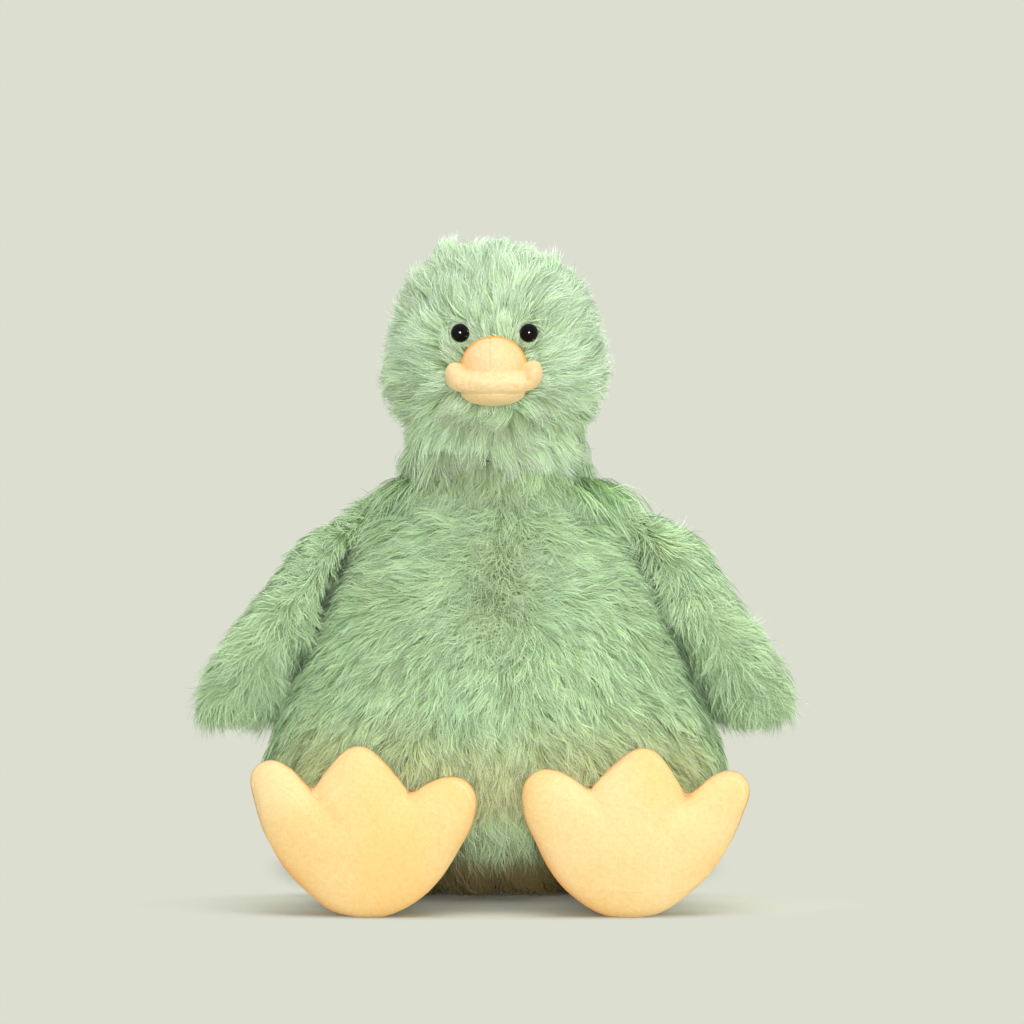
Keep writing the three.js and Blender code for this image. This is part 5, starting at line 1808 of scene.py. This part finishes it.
@dataclass
class Beak(Limb):
    """The velour bill: an upper bill with a ridged dome, side lobes and a puckered lip, and a lower bill."""

    voxel: float = 0.5
    dome: Lump = Lump((-0.2, -57, 253.0), (14.9, 18, 14.0), 2.02)
    brim: Lump = Lump((-0.9, -62, 246.5), (22.4, 19.5, 6.7), 2.1, tip=7)
    lobes: tuple[Lump, ...] = (Lump((-18.6, -63, 249.0), (4.9, 12, 6.3), 2.2, tip=7, roll=-10),
                               Lump((18.2, -63, 249.6), (4.8, 12, 6.7), 2.2, tip=7, roll=10))
    lower: Lump = Lump((-0.7, -57, 241.0), (15.6, 20.5, 6.6), 2.0)
    lower_top: float = 241.0
    ridge: float = -2.3
    welt: float = 1.15
    lining: float = 1.8
    stitch: tuple[float, float, float] = (2.5, 1.1, 0.6)

    WELT_GRID = (10, 6)

    def mould(self, name: str, forms: list[Lump], grain: float = 1) -> bpy.types.Object:
        """Melts rounded forms into one surface.

        Args:
            name: The object's name.
            forms: The forms.
            grain: How many times coarser than the velour the mesh is.

        Returns:
            One closed mesh object, evened out.
        """
        points, faces, first = [], [], 0
        for form in forms:
            is_welt = min(form.radii) <= self.welt + 0.5
            shell, sides = form.shell(*self.WELT_GRID) if is_welt else form.shell()
            points.append(shell)
            faces += [tuple(first + i for i in side) for side in sides]
            first += len(shell)
        made = link(name, plain_mesh(name, np.vstack(points), [], faces))
        melt = made.modifiers.new("melt", "REMESH")
        melt.mode, melt.voxel_size = "VOXEL", self.voxel * grain * MM
        even = made.modifiers.new("even", "SMOOTH")
        even.factor, even.iterations = 0.5, 8
        whole = evaluated(made)
        made.modifiers.clear()
        made.data = whole
        return made

    def arch(self) -> np.ndarray:
        """Gives the line where the dome's edge is sewn to the face.

        Returns:
            Its points, from one lobe over the top to the other.
        """
        turn = np.linspace(math.radians(8), math.radians(172), 60)
        share = 2 / self.dome.square
        x = (self.dome.radii[0] + 0.1) * np.sign(np.cos(turn)) * np.abs(np.cos(turn)) ** share
        z = (self.dome.radii[2] + 0.1) * np.sin(turn) ** share
        return np.stack([x, np.full_like(x, -1.5), z], 1) + self.dome.middle

    def crease(self, data: bpy.types.Mesh) -> None:
        """Draws in the ridge seam and the folds, puckers the lip and marks where the cloth is deeper in colour: the
        welt's own orange, and painted shade along the centre seam, in the creases, in the pucker dips and where the
        lip meets the lower bill.

        Args:
            data: The upper bill's mesh, which is changed.
        """
        p, way = read_points(data), np.zeros(len(data.vertices) * 3)
        data.vertex_normals.foreach_get("vector", way)
        x, y, z = p.T
        on_dome, on_brim = self.dome.gauge(p), self.brim.gauge(p)
        on_lobe = np.minimum(self.lobes[0].gauge(p), self.lobes[1].gauge(p))
        seam = np.exp(-((x - self.ridge) / 0.5)**2) * ease(z, 251, 254)
        side = np.exp(-(np.maximum(on_dome, 0)**2 + np.maximum(on_lobe, 0)**2) / 0.8) * ease(z, 248, 251)
        front = np.exp(-(np.maximum(on_dome, 0)**2 + np.maximum(on_brim, 0)**2) / 0.8)
        lip = ease(-y, 66, 71) * ease(z, 240.5, 242.5) * ease(z, 254, 250.5) * ease(-np.abs(x), -21, -15)
        pucker = (ripple(p * (1, 0.6, 1.6), 1.1, 3)[:, 0] * 0.4 + ripple(p * (1, 1, 0.6), 0.63, 4)[:, 1] * 0.3
                  + ripple(p, 0.37, 5)[:, 2] * 0.3)
        root = np.exp(-(np.linalg.norm(p[:, None] - self.arch()[None], axis=2).min(1) / (self.welt * 1.5))**4)
        move = -0.4 * seam + 0.5 * pucker * lip - 0.4 * side
        # painted shade along the centre seam, in the creases and in the pucker dips; root is the welt's own orange
        edge = 0.2 * seam + 0.35 * side + 0.05 * front + root + 0.32 * np.clip(-pucker - 0.15, 0, 1) * lip
        # painted shade where the lip meets the lower bill
        edge += 0.3 * np.exp(-((z - self.lower_top) / 1.0)**2) * lip
        write_points(data, p + way.reshape(-1, 3) * move[:, None])
        write_values(data, "edge", np.clip(edge, 0, 1))

    def level(self, data: bpy.types.Mesh, top: float) -> np.ndarray:
        """Presses a form nearly flat above a height.

        Args:
            data: Its mesh, which is changed.
            top: The height.

        Returns:
            The heights of its points after that.
        """
        p = read_points(data)
        p[:, 2] = np.where(p[:, 2] > top, top + (p[:, 2] - top) * 0.1, p[:, 2])
        write_points(data, p)
        return p[:, 2]

    def halve(self, upper: bpy.types.Object, side: str, sign: int) -> None:
        """Makes one panel of the upper bill.

        Args:
            upper: The whole upper bill.
            side: Which half is kept.
            sign: 1 for the right half and -1 for the left one.
        """
        work = bmesh.new()
        work.from_mesh(upper.data)
        bmesh.ops.bisect_plane(work, geom=[*work.verts, *work.edges, *work.faces], plane_co=(0, 0, 0),
                               plane_no=(-sign, 0, 0), clear_outer=True)
        data = bpy.data.meshes.new(f"beak_upper_{side}")
        work.to_mesh(data)
        work.free()
        data.shade_smooth()
        data.materials.append(BEAK_VELOUR.material())
        self.keep(link(data.name, data), "beak_velour", f"beak_upper_{side}_panel", fill=0.8)

    def build(self) -> None:
        """Makes the two bills."""
        welt = [Lump(tuple(at), (self.welt, self.welt * 1.4, self.welt), 2) for at in self.arch()]
        upper = self.mould("beak_upper", [self.dome, self.brim, *self.lobes, *welt])
        self.crease(upper.data)
        self.halve(upper, "left", -1)
        self.halve(upper, "right", 1)
        bpy.data.objects.remove(upper)
        seam = self.stitch_tree.sew("beak_stitches", self.arch()[6:-6] + (0, -1.25, 0), *self.stitch, BEAK_THREAD)
        self.keep(seam, "beak_velour")
        for name, forms in (("upper", (self.dome, self.brim)), ("lower", (self.lower,))):
            fill = self.mould(f"beak_{name}_fill", [form.smaller(self.lining) for form in forms], 2)
            if name == "lower":
                self.level(fill.data, self.lower_top - 1.5)
            fill.data.materials.append(WADDING.material())
            fill.data.shade_smooth()
            self.keep(fill, "wadding", f"beak_{name}_stuffing", fill=0.6)
        lower = self.mould("beak_lower", [self.lower])
        lower.data.shade_smooth()
        # painted shade on the top of the lower bill, under the lip
        edge = 0.3 * ease(self.level(lower.data, self.lower_top), 239.8, 241.8) + 0.04
        write_values(lower.data, "edge", edge)
        lower.data.materials.append(BEAK_VELOUR.material())
        self.keep(lower, "beak_velour", "beak_lower_panel", fill=0.8)


class Filling:
    """The pieces inside: wadding, the pellet pouch, and the eyes' hardware."""

    WADDING = {"body_stuffing": "body", "tail_stuffing": "body", "neck_wadding": "neck", "head_stuffing": "head"}
    SHRINK, POUCH_SHRINK = 2.6, 0.6
    NECK_SHARE = 0.9
    HOLLOW = Vector((0, 0, 0.188))
    HOLLOW_RADIUS = 0.0505
    HEAD_LOWEST, HEAD_LINING = 219.0, 9.5

    def build(self) -> None:
        """Makes the fillings, and gives the washers their plastic."""
        for node, body in self.WADDING.items():
            self.soften(node, body, WADDING, "wadding", self.SHRINK)
        self.soften("pellet_pouch", "body", CALICO, "calico", self.POUCH_SHRINK)
        for side in ("left", "right"):
            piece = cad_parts[f"eye_washer_{side}"]
            piece.data.materials.clear()
            piece.data.materials.append(WASHER_PLASTIC.material())
            log.info("%s has its plastic", piece.name)

    def soften(self, node: str, body: str, finish: Finish, slot: str, shrink: float) -> None:
        """Makes a filling from its CAD form: evened out, a little lumpy and just inside its cloth.

        Args:
            node: The CAD node.
            body: The body that it rides on.
            finish: Its material.
            slot: The record's material slot; not used.
            shrink: How far it draws in, in millimetres.
        """
        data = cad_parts[node].data.copy()
        work = bmesh.new()
        work.from_mesh(data)
        bmesh.ops.remove_doubles(work, verts=work.verts, dist=1e-5)
        bmesh.ops.subdivide_edges(work, edges=work.edges, cuts=1, use_grid_fill=True)
        work.normal_update()
        middle = sum((v.co for v in work.verts), Vector()) / len(work.verts)
        for vertex in work.verts:
            if node == "neck_wadding":
                vertex.co = middle + (vertex.co - middle) * self.NECK_SHARE
            elif node != "head_stuffing" or (vertex.co - self.HOLLOW).length > self.HOLLOW_RADIUS:
                lump = math.sin(vertex.co.x * 310) * math.sin(vertex.co.y * 270 + 1) * math.sin(vertex.co.z * 290 + 2)
                vertex.co -= vertex.normal * (shrink + 0.3 * lump) * MM
            if node == "head_stuffing":
                most = HEAD.radius(max(vertex.co.z / MM, self.HEAD_LOWEST), self.HEAD_LINING) * MM
                wide = math.hypot(vertex.co.x, vertex.co.y)
                if wide > most:
                    vertex.co.x, vertex.co.y = vertex.co.x * most / wide, vertex.co.y * most / wide
        work.to_mesh(data)
        work.free()
        data.materials.clear()
        data.materials.append(finish.material())
        data.shade_smooth()
        piece = link(node + "_fill", data)
        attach(piece, body)
        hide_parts(node)
        log.info("%s rides on %s", piece.name, body)


@dataclass
class Studio:
    """The plain pale floor and backdrop, the soft lights and the camera."""

    backdrop: Colour = linear(220, 222, 208)
    lens: float = 112.5
    place: tuple[float, float, float] = (8.5, -1600.0, 255.0)
    pitch: float = 2.66
    floor_reach: float = 12000.0

    def build(self) -> None:
        """Makes everything round the duck."""
        self.camera()
        self.floor()
        self.sky()
        self.lamp("key", (10, -1750, 330), (0, 0, 180), 420, 10)
        self.lamp("spark", (60, -1750, 420), (0, 0, 260), 620, 150, glossy=True)
        self.lamp("top", (150, -200, 1500), (0, 0, 120), 1300, 11.5)
        self.lamp("side", (1500, -500, 500), (0, 0, 150), 900, 3.6)

    def camera(self) -> None:
        """Makes the camera where the photograph was taken from."""
        data = bpy.data.cameras.new("camera")
        data.lens, data.sensor_width = self.lens, 36
        data.clip_start, data.clip_end = 0.01, 50
        camera = link("camera", data)
        camera.location = [v * MM for v in self.place]
        camera.rotation_euler = (math.radians(90 - self.pitch), 0, 0)
        bpy.context.scene.camera = camera
        bpy.context.scene.view_settings.view_transform = "Standard"

    def lamp(self, name: str, at: tuple, aim: tuple, size: float, power: float, glossy: bool = False) -> None:
        """Makes a round soft box.

        Args:
            name: The lamp's name.
            at: Where it hangs, in millimetres.
            aim: The point that it faces.
            size: Its width.
            power: Its power in watts.
            glossy: Whether it shows in polished pieces and nowhere else.
        """
        data = bpy.data.lights.new(name, "AREA")
        data.shape, data.size, data.energy = "DISK", size * MM, power
        lamp = link(name, data)
        lamp.location = [v * MM for v in at]
        lamp.rotation_euler = (Vector(at) - Vector(aim)).to_track_quat("Z", "Y").to_euler()
        lamp.visible_camera, lamp.visible_glossy, lamp.visible_diffuse = False, glossy, not glossy

    def floor(self) -> None:
        """Makes the floor, which keeps the duck's shadow, has a painted shadow darkening its colour near the duck, and
        fades into the backdrop's colour.
        """
        made = bpy.data.materials.new("floor")
        made.use_nodes = True
        plan = Plan(made.node_tree)
        surface = made.node_tree.nodes["Principled BSDF"]
        place = plan.place()
        front = plan.vector("LENGTH", (place + (0.0, 0.102, 0.0)) * (6.2, 25.0, 0.0))
        under = plan.vector("LENGTH", (place - (0.0, 0.02, 0.0)) * (9.5, 8.0, 0.0))
        away = plan.maths("MINIMUM", front, under)
        # painted shadow: the floor's own colour is darker near the duck's feet and body
        base = plan.blend(plan.fit(away, 0.3, 0.8), shade(self.backdrop, 0.6), shade(self.backdrop, 0.98))
        dress_surface(plan, surface, base_color=base, roughness=1.0, specular_ior_level=0.0)
        seen = plan.add("ShaderNodeLightPath")["Is Camera Ray"]
        glow = plan.add("ShaderNodeEmission", None, {"Color": self.backdrop, "Strength": 1.0})["Emission"]
        share = plan.fit(away, 0.78, 1.15) * seen
        mixed = plan.add("ShaderNodeMixShader", None, {0: share, 1: Wire(plan, surface.outputs[0]), 2: glow})
        plan.tree.links.new(mixed["Shader"].socket, made.node_tree.nodes["Material Output"].inputs["Surface"])
        corners = np.array([(-1, -1, 0), (1, -1, 0), (1, 1, 0), (-1, 1, 0)]) * self.floor_reach
        floor = link("floor", plain_mesh("floor", corners, [], [(0, 1, 2, 3)]))
        floor.data.materials.append(made)

    def sky(self) -> None:
        """Makes the even light all round, which the camera sees as the backdrop."""
        world = bpy.data.worlds.new("studio")
        world.use_nodes = True
        bpy.context.scene.world = world
        plan = Plan(world.node_tree)
        for node in list(world.node_tree.nodes):
            world.node_tree.nodes.remove(node)
        ray = plan.add("ShaderNodeLightPath")
        direct = plan.maths("MAXIMUM", plan.maths("MAXIMUM", ray["Is Camera Ray"], ray["Is Glossy Ray"]),
                            ray["Is Transmission Ray"])
        seen = plan.add("ShaderNodeBackground", None, {"Color": self.backdrop, "Strength": 1.0})["Background"]
        light = plan.add("ShaderNodeBackground", None, {"Color": (1.0, 1.0, 1.0), "Strength": 0.58})["Background"]
        mixed = plan.add("ShaderNodeMixShader", None, {0: direct, 1: light, 2: seen})["Shader"]
        plan.add("ShaderNodeOutputWorld", None, {"Surface": mixed})


def main() -> None:
    """Builds the studio and the duck."""
    Studio().build()
    trees = PileTree(), StitchTree()
    Trunk(*trees, "body").build()
    Tail(*trees, "body").build()
    Head(*trees, "head").build()
    Beak(*trees, "head").build()
    for side, sign, lean in (("left", -1, 1.4), ("right", 1, 7.0)):
        Wing(*trees, f"wing_{side}", sign=sign).build()
        Foot(*trees, f"foot_{side}", sign=sign, lean=math.radians(lean)).build()
    Filling().build()


if __name__ == "__main__":
    main()
